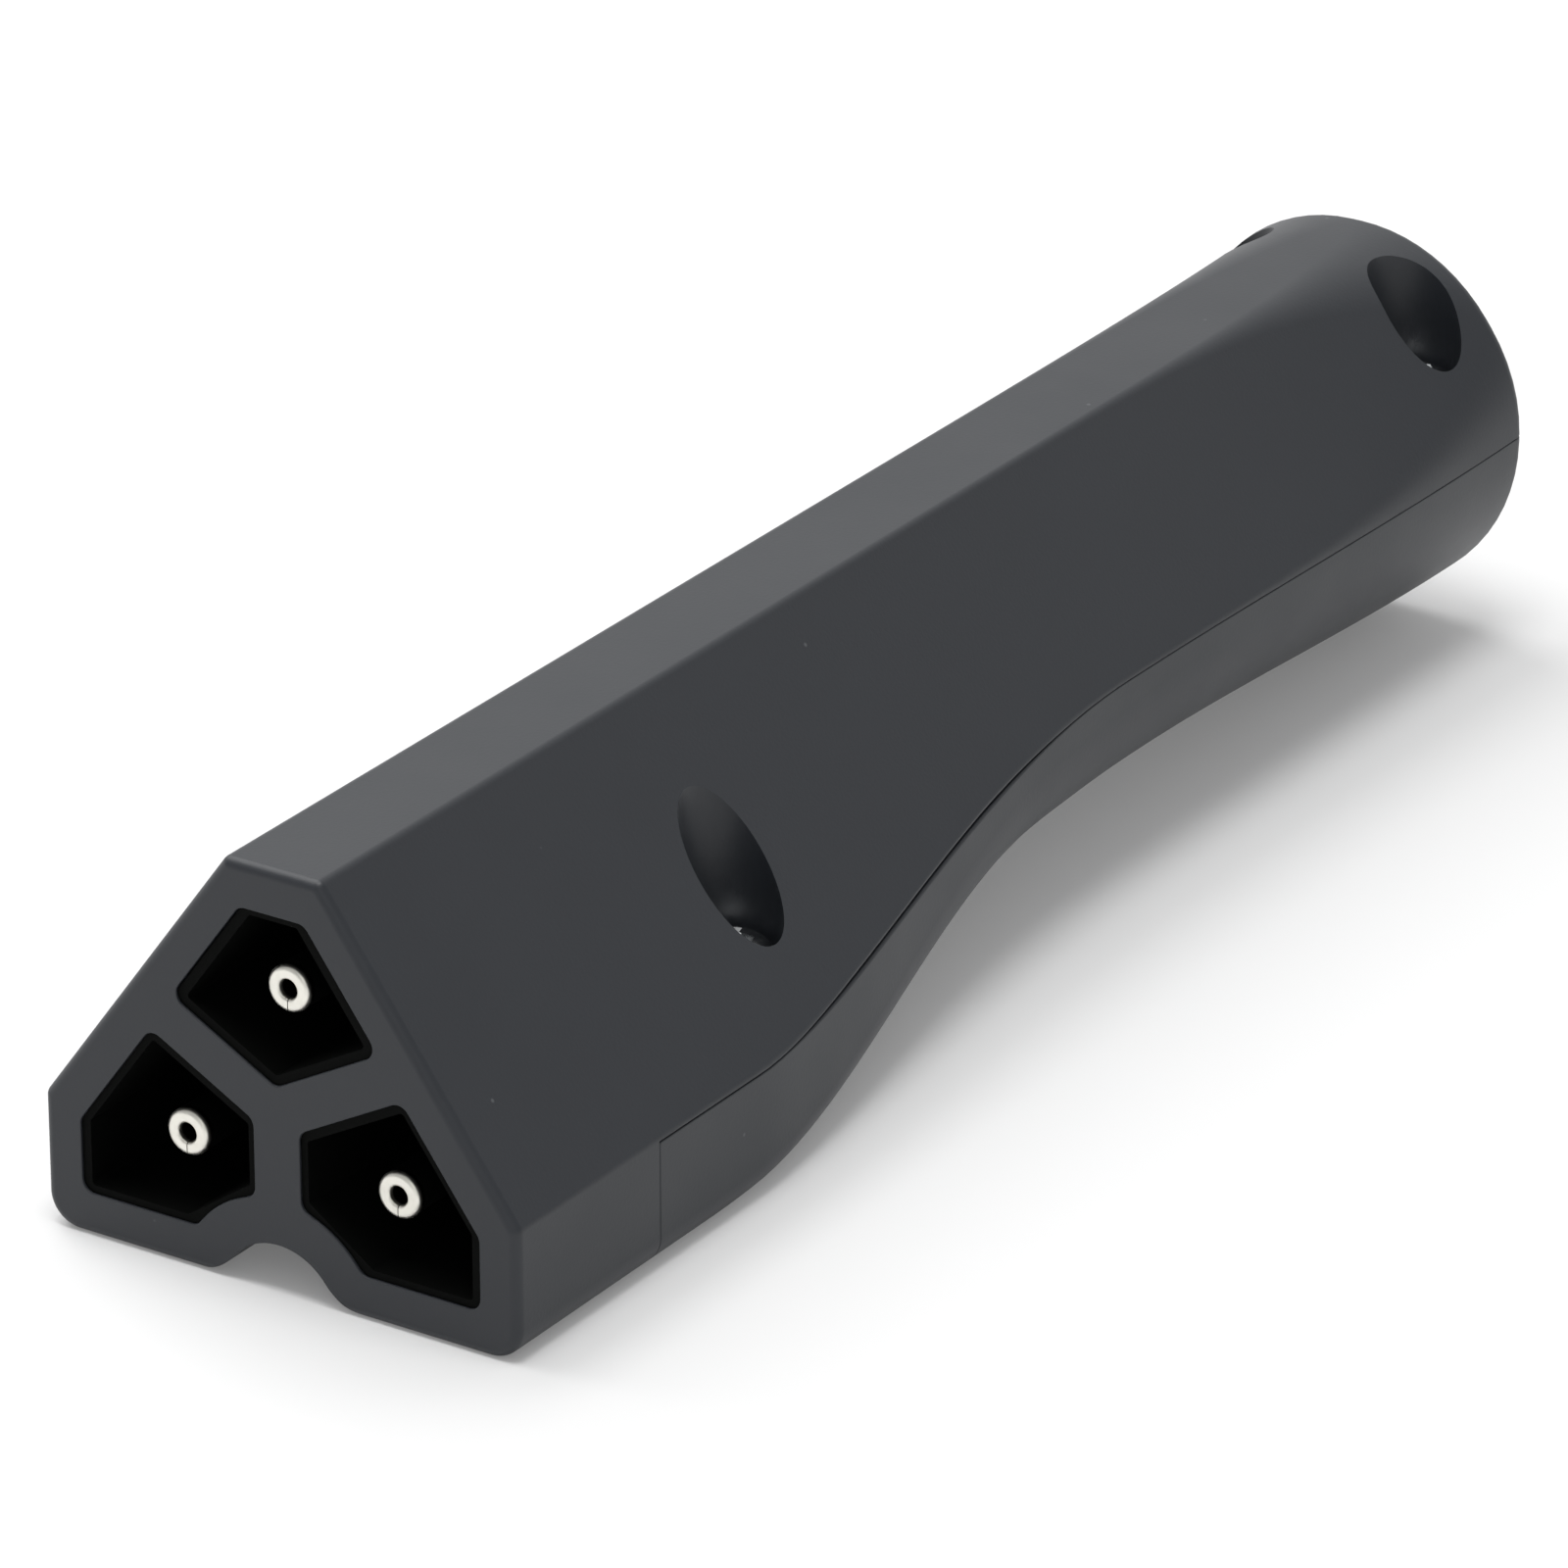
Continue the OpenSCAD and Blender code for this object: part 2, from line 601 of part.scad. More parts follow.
// Rubber bush in the cable end
module cord_grommet() color([0.07, 0.07, 0.075]) at_origin() {
    difference() {
        union() {
            rod([0, end_z], grommet_y, body_l - rim_edge / 2, grommet_d);
            rod([0, end_z], flange_y + screw_play, flange_y + flange_t, flange_d);
        }
        rod([0, end_z], grommet_y - 1, body_l + 1, cord_d);
    }
}

upper_housing();
lower_housing();
contact_carrier();
contact_retainer();
retainer_screw(-1);  // retainer_screw_left
retainer_screw(1);  // retainer_screw_right
contact(0);  // contact_top
contact(1);  // contact_left
contact(2);  // contact_right
contact_sleeve(0);  // contact_sleeve_top
contact_sleeve(1);  // contact_sleeve_left
contact_sleeve(2);  // contact_sleeve_right
terminal_screw(0);  // terminal_screw_top
terminal_screw(1);  // terminal_screw_left
terminal_screw(2);  // terminal_screw_right
housing_screw(true, -1);  // housing_screw_front_left
housing_screw(true, 1);  // housing_screw_front_right
housing_screw(false, -1);  // housing_screw_rear_left
housing_screw(false, 1);  // housing_screw_rear_right
cord_clamp();
cord_clamp_screw(-1);  // cord_clamp_screw_left
cord_clamp_screw(1);  // cord_clamp_screw_right
cord_grommet();
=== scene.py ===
"""Looks of a hand-held charger plug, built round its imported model.

The two housings are modelled again from the plug's own section rules, with finer
corners and small moulded edges, and stand for their solids, and so do the contacts
and the housing screws. The insulators, the inner screws, the clamp and the grommet
keep their solids and get their finishes here.
Sizes in the classes are in millimetres: Y runs back from the mating face and heights
are measured from the underside of the nose.
"""

import logging
import math
from dataclasses import dataclass, field
from enum import Enum
from typing import Any, Mapping, Optional, Sequence

import bmesh
import bpy
from mathutils import Matrix, Vector


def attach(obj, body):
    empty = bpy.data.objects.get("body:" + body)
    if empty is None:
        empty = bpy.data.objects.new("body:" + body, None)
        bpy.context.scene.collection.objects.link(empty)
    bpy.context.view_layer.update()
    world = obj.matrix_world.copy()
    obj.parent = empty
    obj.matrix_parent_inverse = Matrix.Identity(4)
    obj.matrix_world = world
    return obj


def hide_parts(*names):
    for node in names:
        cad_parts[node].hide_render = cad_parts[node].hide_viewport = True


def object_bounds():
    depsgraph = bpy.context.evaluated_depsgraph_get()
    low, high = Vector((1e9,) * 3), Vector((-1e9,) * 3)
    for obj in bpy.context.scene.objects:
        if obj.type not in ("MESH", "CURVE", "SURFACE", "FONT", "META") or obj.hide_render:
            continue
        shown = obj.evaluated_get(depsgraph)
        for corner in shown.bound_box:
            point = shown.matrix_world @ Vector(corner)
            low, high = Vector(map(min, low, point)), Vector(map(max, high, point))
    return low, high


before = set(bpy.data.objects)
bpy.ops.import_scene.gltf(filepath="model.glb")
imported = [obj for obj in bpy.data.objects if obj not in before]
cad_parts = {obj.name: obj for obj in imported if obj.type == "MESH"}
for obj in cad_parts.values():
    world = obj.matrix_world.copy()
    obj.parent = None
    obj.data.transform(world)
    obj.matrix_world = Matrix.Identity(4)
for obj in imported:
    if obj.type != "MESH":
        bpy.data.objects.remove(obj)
CAD_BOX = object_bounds()

LOG = logging.getLogger("charger_plug")
MM = 0.001
# The underside of the nose is the lowest face of the plug
UNDERSIDE_Z = CAD_BOX[0].z / MM
# Points round a turned body
ROUND_STEPS = 64
# How far a cutter reaches past what it cuts
BEYOND = 1.0
# Radius that a corner keeps when it is moved in
LEAST_RADIUS = 0.4
# Most of a noise texture's values lie between these two
NOISE_LOW, NOISE_HIGH = 0.3, 0.7

Point = tuple[float, float]
Edge = tuple[float, float]
Ring = list[Vector]


class Side(Enum):
    """Side of the plug, seen from its mating face."""

    LEFT = -1
    RIGHT = 1


class Contact(Enum):
    """Places of the three contacts."""

    TOP = "top"
    LEFT = "left"
    RIGHT = "right"


# Modelling helpers


def at(x: float, y: float, z: float) -> Vector:
    """Turns a place in millimetres over the underside into the frame's metres.

    Args:
        x: Distance to the right of the centre line.
        y: Distance behind the mating face.
        z: Height over the underside of the nose.

    Returns:
        The place in the row frame.
    """
    return Vector((x * MM, y * MM, (z + UNDERSIDE_Z) * MM))


def ramp(start: float, end: float, value: float, lead: float = 1.0) -> float:
    """Smooth step from 0 at start to 1 at end.

    Args:
        start: Value at which the step begins.
        end: Value at which it is complete.
        value: Value to place on the step.
        lead: Exponent that makes the step earlier when it is below 1.

    Returns:
        A share from 0 to 1.
    """
    share = max(0.0, min(1.0, (value - start) / (end - start))) ** lead
    return share * share * (3 - 2 * share)


def steps(start: float, end: float, count: int) -> list[float]:
    """Evenly spaced values.

    Args:
        start: First value.
        end: Last value.
        count: Number of gaps between them.

    Returns:
        One value more than there are gaps.
    """
    return [start + (end - start) * i / count for i in range(count + 1)]


def arc(centre: Point, radius: float, turns: Sequence[float]) -> list[Point]:
    """Points on an arc.

    Args:
        centre: Centre of the arc.
        radius: Radius of the arc.
        turns: Directions of the points in degrees.

    Returns:
        One point for each direction.
    """
    return [
        (
            centre[0] + radius * math.cos(math.radians(turn)),
            centre[1] + radius * math.sin(math.radians(turn)),
        )
        for turn in turns
    ]


def meet(a: Edge, b: Edge) -> Point:
    """Point where two edges cross.

    Args:
        a: Direction of the edge's outward normal in degrees, and its distance.
        b: The other edge.

    Returns:
        The crossing point.
    """
    ta, tb = math.radians(a[0]), math.radians(b[0])
    k = math.sin(tb - ta)
    return (
        (a[1] * math.sin(tb) - b[1] * math.sin(ta)) / k,
        (b[1] * math.cos(ta) - a[1] * math.cos(tb)) / k,
    )


def corner(
    a: Edge, b: Edge, radius: float, inset: float, count: int, least: float = LEAST_RADIUS
) -> list[Point]:
    """Arc that rounds the corner between two edges.

    Args:
        a: Edge before the corner.
        b: Edge after the corner.
        radius: Radius of the corner before it is moved in.
        inset: How far both edges are moved in.
        count: Number of steps in the arc.
        least: Radius that is kept at least.

    Returns:
        The points of the arc.
    """
    r = max(radius - inset, least)
    centre = meet((a[0], a[1] - inset - r), (b[0], b[1] - inset - r))
    return arc(centre, r, steps(a[0], b[0], count))


def outline(edges: Sequence[Edge], radius: float, inset: float, count: int) -> list[Point]:
    """Closed outline of a convex shape with rounded corners.

    Args:
        edges: The edges in turn, anticlockwise.
        radius: Radius of every corner.
        inset: How far the outline is moved in.
        count: Number of steps in each corner.

    Returns:
        The points of the outline.
    """
    points: list[Point] = []
    for i, edge in enumerate(edges):
        after = edges[i + 1] if i + 1 < len(edges) else (edges[0][0] + 360, edges[0][1])
        points += corner(edge, after, radius, inset, count)
    return points


def deselect() -> None:
    """Leaves nothing selected, because an operator acts on all that is."""
    if bpy.context.object and bpy.context.object.mode != "OBJECT":
        bpy.ops.object.mode_set(mode="OBJECT")
    bpy.ops.object.select_all(action="DESELECT")


def pick(obj: bpy.types.Object) -> None:
    """Selects one object and makes it the active one."""
    deselect()
    obj.select_set(True)
    bpy.context.view_layer.objects.active = obj


def loft(name: str, rings: Sequence[Ring]) -> bpy.types.Object:
    """Lofts a closed body: a round blank is extruded and shaped ring by ring.

    Args:
        name: Name of the new object.
        rings: The rings in turn, each with the same number of points.

    Returns:
        The new object, at the origin.
    """
    deselect()
    bpy.ops.mesh.primitive_circle_add(vertices=len(rings[0]), radius=1, fill_type="NGON")
    obj = bpy.context.object
    obj.name = name
    bpy.ops.object.mode_set(mode="EDIT")
    bpy.ops.mesh.select_mode(type="FACE")
    bpy.ops.mesh.select_all(action="SELECT")
    mesh = bmesh.from_edit_mesh(obj.data)
    order = mesh.verts.layers.int.new("order")
    for i, vert in enumerate(mesh.verts):
        vert[order] = i
        vert.co = rings[0][i]
    for ring in rings[1:]:
        bpy.ops.mesh.extrude_region()
        mesh = bmesh.from_edit_mesh(obj.data)
        order = mesh.verts.layers.int["order"]
        for vert in mesh.verts:
            if vert.select:
                vert.co = ring[vert[order]]
    bmesh.update_edit_mesh(obj.data)
    bpy.ops.mesh.select_all(action="SELECT")
    bpy.ops.mesh.remove_doubles(threshold=0.002 * MM)
    bpy.ops.mesh.normals_make_consistent(inside=False)
    bpy.ops.object.mode_set(mode="OBJECT")
    return obj


def combine(body: bpy.types.Object, tool: bpy.types.Object, how: str = "DIFFERENCE") -> None:
    """Cuts a tool out of a body, or adds it, and removes the tool.

    Args:
        body: Object that is changed.
        tool: Object that changes it.
        how: Name of the boolean operation.
    """
    pick(body)
    change = body.modifiers.new("change", "BOOLEAN")
    change.operation = how
    change.solver = "EXACT"
    change.object = tool
    bpy.ops.object.modifier_apply(modifier=change.name)
    bpy.data.objects.remove(tool)


def join(objects: Sequence[bpy.types.Object]) -> bpy.types.Object:
    """Joins objects into the first of them and returns it."""
    pick(objects[0])
    for obj in objects[1:]:
        obj.select_set(True)
    bpy.ops.object.join()
    return objects[0]


def along_y(points: Sequence[Point], y: float) -> Ring:
    """Ring in a plane across the plug, from an outline in X and Z."""
    return [at(x, y, z) for x, z in points]


def turned_y(name: str, centre: Point, profile: Sequence[Point]) -> bpy.types.Object:
    """Round body along Y.

    Args:
        name: Name of the new object.
        centre: Place of its axis in X and Z.
        profile: Pairs of place along Y and radius.

    Returns:
        The new object.
    """
    turns = steps(0, 360, ROUND_STEPS)[:-1]
    return loft(name, [along_y(arc(centre, r, turns), y) for y, r in profile])


def turned_z(name: str, centre: Point, profile: Sequence[Point]) -> bpy.types.Object:
    """Round body along Z.

    Args:
        name: Name of the new object.
        centre: Place of its axis in X and Y.
        profile: Pairs of height and radius.

    Returns:
        The new object.
    """
    turns = steps(0, 360, ROUND_STEPS)[:-1]
    return loft(name, [[at(x, y, z) for x, y in arc(centre, r, turns)] for z, r in profile])


def smooth(obj: bpy.types.Object, crease: float = 32.0) -> None:
    """Shades a piece smooth up to a crease angle, with flat faces kept flat.

    Args:
        obj: The piece.
        crease: Angle in degrees above which an edge stays sharp.
    """
    pick(obj)
    bpy.ops.object.shade_smooth_by_angle(angle=math.radians(crease))
    weigh = obj.modifiers.new("weigh", "WEIGHTED_NORMAL")
    weigh.mode = "FACE_AREA"
    weigh.keep_sharp = True
    bpy.ops.object.modifier_apply(modifier=weigh.name)


# Forms of the plug


@dataclass(frozen=True)
class PlugForm:
    """Outer form of the plug as sections across its length."""

    nose_width: float = 52.0
    height: float = 41.8
    ridge_width: float = 10.3
    side_height: float = 13.2
    length: float = 189.6
    waist_width: float = 38.1
    end_diameter: float = 39.4
    sides_from: float = 39.5
    sides_to: float = 113.5
    sides_lead: float = 0.825
    belly_from: float = 31.8
    belly_to: float = 104.3
    belly_lift: float = 8.3
    end_drop: float = 0.4
    fall_from: float = 112.0
    swell_from: float = 100.0
    swell_rate: float = 4.4
    soften_rate: float = 4.7
    face_edge: float = 1.0
    ridge_edge: float = 1.0
    shoulder_drop: float = 0.35
    bottom_edge: float = 3.3
    belly_edge: float = 10.6
    rim_edge: float = 1.6
    seam_edge: float = 0.35
    gap_open: tuple[float, float, float, float] = (42.0, 58.0, 84.0, 112.0)
    gap_front: float = 0.4
    gap_rear: float = 0.1
    end_flat: float = 0.5
    seam_y: float = 22.4
    part_gap: float = 0.26
    bottom_steps: int = 16
    shoulder_steps: int = 6
    ridge_steps: int = 10
    rim_steps: int = 6
    station_gap: float = 2.0

    @property
    def end_radius(self) -> float:
        """Radius of the round cable end."""
        return self.end_diameter / 2

    @property
    def end_z(self) -> float:
        """Height of the cable end's centre."""
        return self.height - self.end_drop - self.end_radius

    @property
    def slope(self) -> float:
        """Direction in degrees in which the right sloping face looks."""
        rise = self.height - self.side_height
        return 90 - math.degrees(math.atan2(rise, (self.nose_width - self.ridge_width) / 2))

    def _slope_at_nose(self) -> float:
        """Distance of the sloping faces at the nose."""
        turn = math.radians(self.slope)
        return self.nose_width / 2 * math.cos(turn) + self.side_height * math.sin(turn)

    def _shoulder_z(self, width: float, distance: float) -> float:
        """Height at which a sloping face meets a side wall.

        Args:
            width: Distance of the side wall from the centre line.
            distance: Distance of the sloping face.

        Returns:
            The height over the underside.
        """
        turn = math.radians(self.slope)
        return (distance - width * math.cos(turn)) / math.sin(turn)

    def _swell(self, y: float, rate: float) -> float:
        """Share of the way from the flat faces to the round end."""
        return max(0.0, (y - self.swell_from) / (self.length - self.swell_from)) ** rate

    def half_width(self, y: float) -> float:
        """Distance of the side walls from the centre line."""
        draw_in = (self.nose_width - self.waist_width) / 2
        grow = (self.end_diameter - self.waist_width) / 2
        return (
            self.nose_width / 2
            - draw_in * ramp(self.sides_from, self.sides_to, y, self.sides_lead)
            + grow * ramp(self.sides_to, self.length, y)
        )

    def under_z(self, y: float) -> float:
        """Height of the underside."""
        lift = self.belly_lift * ramp(self.belly_from, self.belly_to, y)
        fall = self.end_z - self.end_radius - self.belly_lift
        return lift + fall * ramp(self.fall_from, self.length, y)

    def part_z(self, y: float) -> float:
        """Height of the parting line between the housings."""
        half_slope = math.radians(self.slope / 2)
        near = self._slope_at_nose()
        far = self.end_z * math.sin(2 * half_slope) + self.end_radius
        lift = (
            self._shoulder_z(self.end_radius, far)
            - (self.end_radius - self.end_flat) * math.tan(half_slope)
            - self._shoulder_z(self.end_radius, near)
            + self.shoulder_drop
        )
        low = self._shoulder_z(self.half_width(y), near) - self.shoulder_drop
        return low + lift * self._swell(y, self.swell_rate)

    def _slope_distance(self, y: float) -> float:
        """Distance of the sloping faces."""
        far = self.end_z * math.sin(math.radians(self.slope)) + self.end_radius
        near = self._slope_at_nose()
        return near + (far - near) * self._swell(y, self.swell_rate)

    def _edges(self, y: float) -> list[Edge]:
        """Straight edges of the section, from the underside round to it again."""
        ridge = self.height - self.end_drop * self._swell(y, self.swell_rate)
        slope = self._slope_distance(y)
        under, width = -self.under_z(y), self.half_width(y)
        return [
            (-90, under), (0, width), (self.slope, slope), (90, ridge),
            (180 - self.slope, slope), (180, width), (270, under),
        ]

    def _shoulder_radius(self, y: float) -> float:
        """Radius between side wall and sloping face, tangent at the parting line."""
        drop = self._shoulder_z(self.half_width(y), self._slope_distance(y)) - self.part_z(y)
        return drop / math.tan(math.radians(self.slope / 2))

    def _ridge_radius(self, y: float) -> float:
        """Radius between sloping face and ridge."""
        round_end = self.end_radius - self.end_flat
        return self.ridge_edge + (round_end - self.ridge_edge) * self._swell(y, self.soften_rate)

    def _bottom_radius(self, y: float) -> float:
        """Radius between side wall and underside."""
        round_end = self.end_radius - self.end_flat
        soften = (self.belly_edge - self.bottom_edge) * ramp(self.sides_from, self.swell_from, y)
        swell = (round_end - self.belly_edge) * ramp(self.swell_from, self.length, y)
        return self.bottom_edge + soften + swell

    def open_share(self, y: float) -> float:
        """Share of the full gap: the halves meet closer at the nose and along the handle."""
        a, b, c, d = self.gap_open
        front = self.gap_front + (1 - self.gap_front) * ramp(a, b, y)
        return front * (1 - (1 - self.gap_rear) * ramp(c, d, y))

    def soft_edge(self, y: float) -> float:
        """Radius of the round edges along the parting line."""
        return self.seam_edge * max(self.gap_front, self.open_share(y))

    def _shoulder_start(self, y: float) -> float:
        """Direction in degrees at which the shoulder arc leaves the seam's round edge."""
        edge = self.soft_edge(y)
        return math.degrees(math.asin(edge / (self._shoulder_radius(y) - edge)))

    def _shoulder(self, y: float, inset: float) -> tuple[Point, float]:
        """Centre and radius of the right shoulder arc."""
        edges = self._edges(y)
        radius = max(self._shoulder_radius(y) - inset, LEAST_RADIUS)
        a, b = edges[1], edges[2]
        centre = meet((a[0], a[1] - inset - radius), (b[0], b[1] - inset - radius))
        return centre, radius

    def _mirror(self, points: Sequence[Point]) -> list[Point]:
        """Points on the other side, in the turning order of the outline."""
        return [(-x, z) for x, z in reversed(points)]

    def _top(self, y: float, inset: float) -> list[Point]:
        """Outline from the right shoulder over the ridge to the left shoulder."""
        edges = self._edges(y)
        centre, radius = self._shoulder(y, inset)
        start = self._shoulder_start(y)
        right = arc(centre, radius, steps(start, self.slope, self.shoulder_steps))
        right += corner(edges[2], edges[3], self._ridge_radius(y), inset, self.ridge_steps)
        return right + self._mirror(right)

    def whole(self, y: float, inset: float = 0.0) -> Ring:
        """Whole section.

        Args:
            y: Place along the length.
            inset: How far the section is moved in.

        Returns:
            The ring, with as many points as an upper section.
        """
        edges = self._edges(y)
        right = corner(edges[0], edges[1], self._bottom_radius(y), inset, self.bottom_steps)
        side_end = min(self.part_z(y), self._shoulder(y, inset)[0][1])
        right.append((self.half_width(y) - inset, side_end))
        return along_y(self._mirror(right) + right + self._top(y, inset), y)

    def upper(self, y: float, inset: float = 0.0) -> Ring:
        """Section of the upper housing, with a small round edge along the parting line.

        Args:
            y: Place along the length.
            inset: How far the section is moved in.

        Returns:
            The ring, with as many points as a whole section.
        """
        centre, radius = self._shoulder(y, inset)
        start = self._shoulder_start(y)
        foot = arc(centre, radius, [start])[0]
        edge = self.soft_edge(y)
        back = arc(foot, -edge, [start])[0]
        right = arc(back, edge, steps(-90, start, self.bottom_steps)) + [foot]
        return along_y(self._mirror(right) + right + self._top(y, inset), y)

    def lower(self, y: float, inset: float = 0.0) -> Ring:
        """Section of the lower housing, with a small round edge along the parting line.

        Args:
            y: Place along the length.
            inset: How far the section is moved in.

        Returns:
            The ring.
        """
        edges = self._edges(y)
        seam = (90, self.part_z(y) - self.part_gap * self.open_share(y) + inset)
        right = corner(edges[0], edges[1], self._bottom_radius(y), inset, self.bottom_steps)
        edge = self.soft_edge(y)
        right += corner(edges[1], seam, edge + inset, inset, self.shoulder_steps, edge)
        return along_y(self._mirror(right) + right, y)

    def stations(self, start: float) -> list[float]:
        """Places of the sections between a start and the rim of the cable end."""
        stop = self.length - self.rim_edge
        count = math.ceil((stop - start) / self.station_gap)
        return steps(start, stop, count)

    def rim(self) -> list[tuple[float, float]]:
        """Places and insets of the sections round the rim of the cable end."""
        turns = [math.radians(turn) for turn in steps(0, 90, self.rim_steps)[1:]]
        return [
            (
                self.length - self.rim_edge * (1 - math.sin(turn)),
                self.rim_edge * (1 - math.cos(turn)),
            )
            for turn in turns
        ]


@dataclass(frozen=True)
class InnerForm:
    """Walls, ribs, bosses and seats inside both housings."""

    form: PlugForm
    wall: float = 2.8
    end_wall: float = 6.0
    rib_thick: float = 1.6
    rib_high: float = 2.4
    rib_pitch: float = 17.0
    rib_edge: float = 0.001
    hollow_steps: int = 24
    screw_front: tuple[float, float, float] = (15.9, 49.3, 17.6)
    screw_rear: tuple[float, float, float] = (11.1, 181.3, 27.6)
    recess_d: float = 9.7
    boss_wall: float = 1.4
    post_d: float = 8.4
    screw_d: float = 3.8
    bite_play: float = 0.05
    pass_play: float = 0.2
    screw_length: float = 13.0
    cord_d: float = 10.8
    clamp_y: float = 153.6
    clamp_width: float = 8.0
    clamp_pitch: float = 21.6
    clamp_post_d: float = 7.2
    clamp_screw_d: float = 2.9
    clamp_drop: float = 1.7
    clamp_screw_length: float = 8.0
    grommet_d: float = 15.8
    flange_d: float = 19.0
    flange_width: float = 2.0
    flange_wall: float = 2.0
    way_play: float = 0.5
    hole_play: float = 0.5
    saddle_drop: float = 0.5
    seat_play: float = 0.15
    retainer_end: float = 34.2

    @property
    def end(self) -> float:
        """Place of the end wall's inner face."""
        return self.form.length - self.end_wall

    @property
    def clamp_seat(self) -> float:
        """Height of the posts under the cord clamp."""
        return self.form.end_z - self.clamp_drop

    def rib_places(self) -> list[float]:
        """Places of the ribs along the handle, the first behind the contact retainer."""
        places = [self.retainer_end + self.seat_play]
        place = self.screw_front[1] + self.rib_pitch
        while place <= self.clamp_y - self.clamp_width:
            places.append(place)
            place += self.rib_pitch
        return places

    def hollow(self, start: float) -> bpy.types.Object:
        """Inner space of the handle, drawn in at the ribs.

        Args:
            start: Place of its front end.

        Returns:
            The cutter.
        """
        ribs = self.rib_places()
        stops = [(start, self.wall)]
        places = steps(self.form.sides_from, self.end, self.hollow_steps)
        stops += [(y, self.wall) for y in places]
        stops = [s for s in stops if not any(r <= s[0] <= r + self.rib_thick for r in ribs)]
        deep = self.wall + self.rib_high
        for rib in ribs:
            back = rib + self.rib_thick
            stops += [
                (rib, self.wall), (rib + self.rib_edge, deep),
                (back - self.rib_edge, deep), (back, self.wall),
            ]
        stops.sort()
        return loft("hollow", [self.form.whole(y, inset) for y, inset in stops])

    def screw_places(self) -> list[tuple[float, float, float]]:
        """Places and seat heights of the four housing screws."""
        return [
            (side.value * x, y, z)
            for x, y, z in (self.screw_front, self.screw_rear)
            for side in Side
        ]

    def posts(self, diameter: float) -> list[bpy.types.Object]:
        """Round posts at the housing screws, through the whole height."""
        low, high = -BEYOND, self.form.height + BEYOND
        return [
            turned_z("post", (x, y), [(low, diameter / 2), (high, diameter / 2)])
            for x, y, _ in self.screw_places()
        ]

    def cord_seat(self) -> bpy.types.Object:
        """Way of the cord through the cable end, with the grommet's groove."""
        way = self.cord_d / 2 + self.way_play
        bore = self.grommet_d / 2 + self.seat_play
        groove = self.flange_d / 2 + self.seat_play
        start = self.end - self.flange_wall - self.seat_play
        flange = self.end + self.flange_wall
        flange_end = flange + self.flange_width + self.bite_play
        profile = [
            (self.screw_rear[1] - self.post_d, way), (start, way), (start, bore),
            (flange, bore), (flange, groove), (flange_end, groove),
            (flange_end, bore), (self.form.length + BEYOND, bore),
        ]
        return turned_y("cord_seat", (0, self.form.end_z), profile)


# Finishes


def linear(colour: str) -> tuple[float, float, float, float]:
    """Turns an sRGB hex colour into Blender's linear colour.

    Args:
        colour: Six hex digits after a hash sign.

    Returns:
        Red, green, blue and an alpha of 1.
    """
    values = []
    for i in (1, 3, 5):
        s = int(colour[i:i + 2], 16) / 255
        values.append(s / 12.92 if s <= 0.04045 else ((s + 0.055) / 1.055) ** 2.4)
    return (values[0], values[1], values[2], 1.0)


def add_node(
    tree: bpy.types.NodeTree,
    kind: str,
    inputs: Optional[Mapping[Any, Any]] = None,
    **settings: Any,
) -> bpy.types.Node:
    """Adds a node with its settings and links.

    Args:
        tree: Tree that gets the node.
        kind: Type name of the node.
        inputs: Value of each input, or the socket that feeds it.
        **settings: Properties of the node.

    Returns:
        The new node.
    """
    node = tree.nodes.new(kind)
    for name, value in settings.items():
        setattr(node, name, value)
    for key, value in (inputs or {}).items():
        if isinstance(value, bpy.types.NodeSocket):
            tree.links.new(value, node.inputs[key])
        else:
            node.inputs[key].default_value = value
    return node


@dataclass(frozen=True)
class Finish:
    """Common part of every finish: one principled shader."""

    name: str
    colour: str
    roughness: float
    ior: float = 1.5
    metallic: float = 0.0
    gloss: float = 0.5

    def material(self) -> bpy.types.Material:
        """Builds the material and returns it."""
        made = bpy.data.materials.new(self.name)
        made.use_nodes = True
        tree = made.node_tree
        tree.nodes.clear()
        place = add_node(tree, "ShaderNodeTexCoord").outputs["Object"]
        shader = add_node(
            tree,
            "ShaderNodeBsdfPrincipled",
            {
                "Metallic": self.metallic, "IOR": self.ior, "Roughness": self.roughness,
                "Specular IOR Level": self.gloss,
            },
        )
        shader.inputs["Base Color"].default_value = linear(self.colour)
        self.dress(tree, place, shader)
        add_node(tree, "ShaderNodeOutputMaterial", {"Surface": shader.outputs["BSDF"]})
        made.diffuse_color = linear(self.colour)
        return made

    def dress(
        self, tree: bpy.types.NodeTree, place: bpy.types.NodeSocket, shader: bpy.types.Node
    ) -> None:
        """Adds what the surface shows beyond its plain colour.

        Args:
            tree: Tree of the material.
            place: Object coordinates in metres.
            shader: The principled shader.
        """


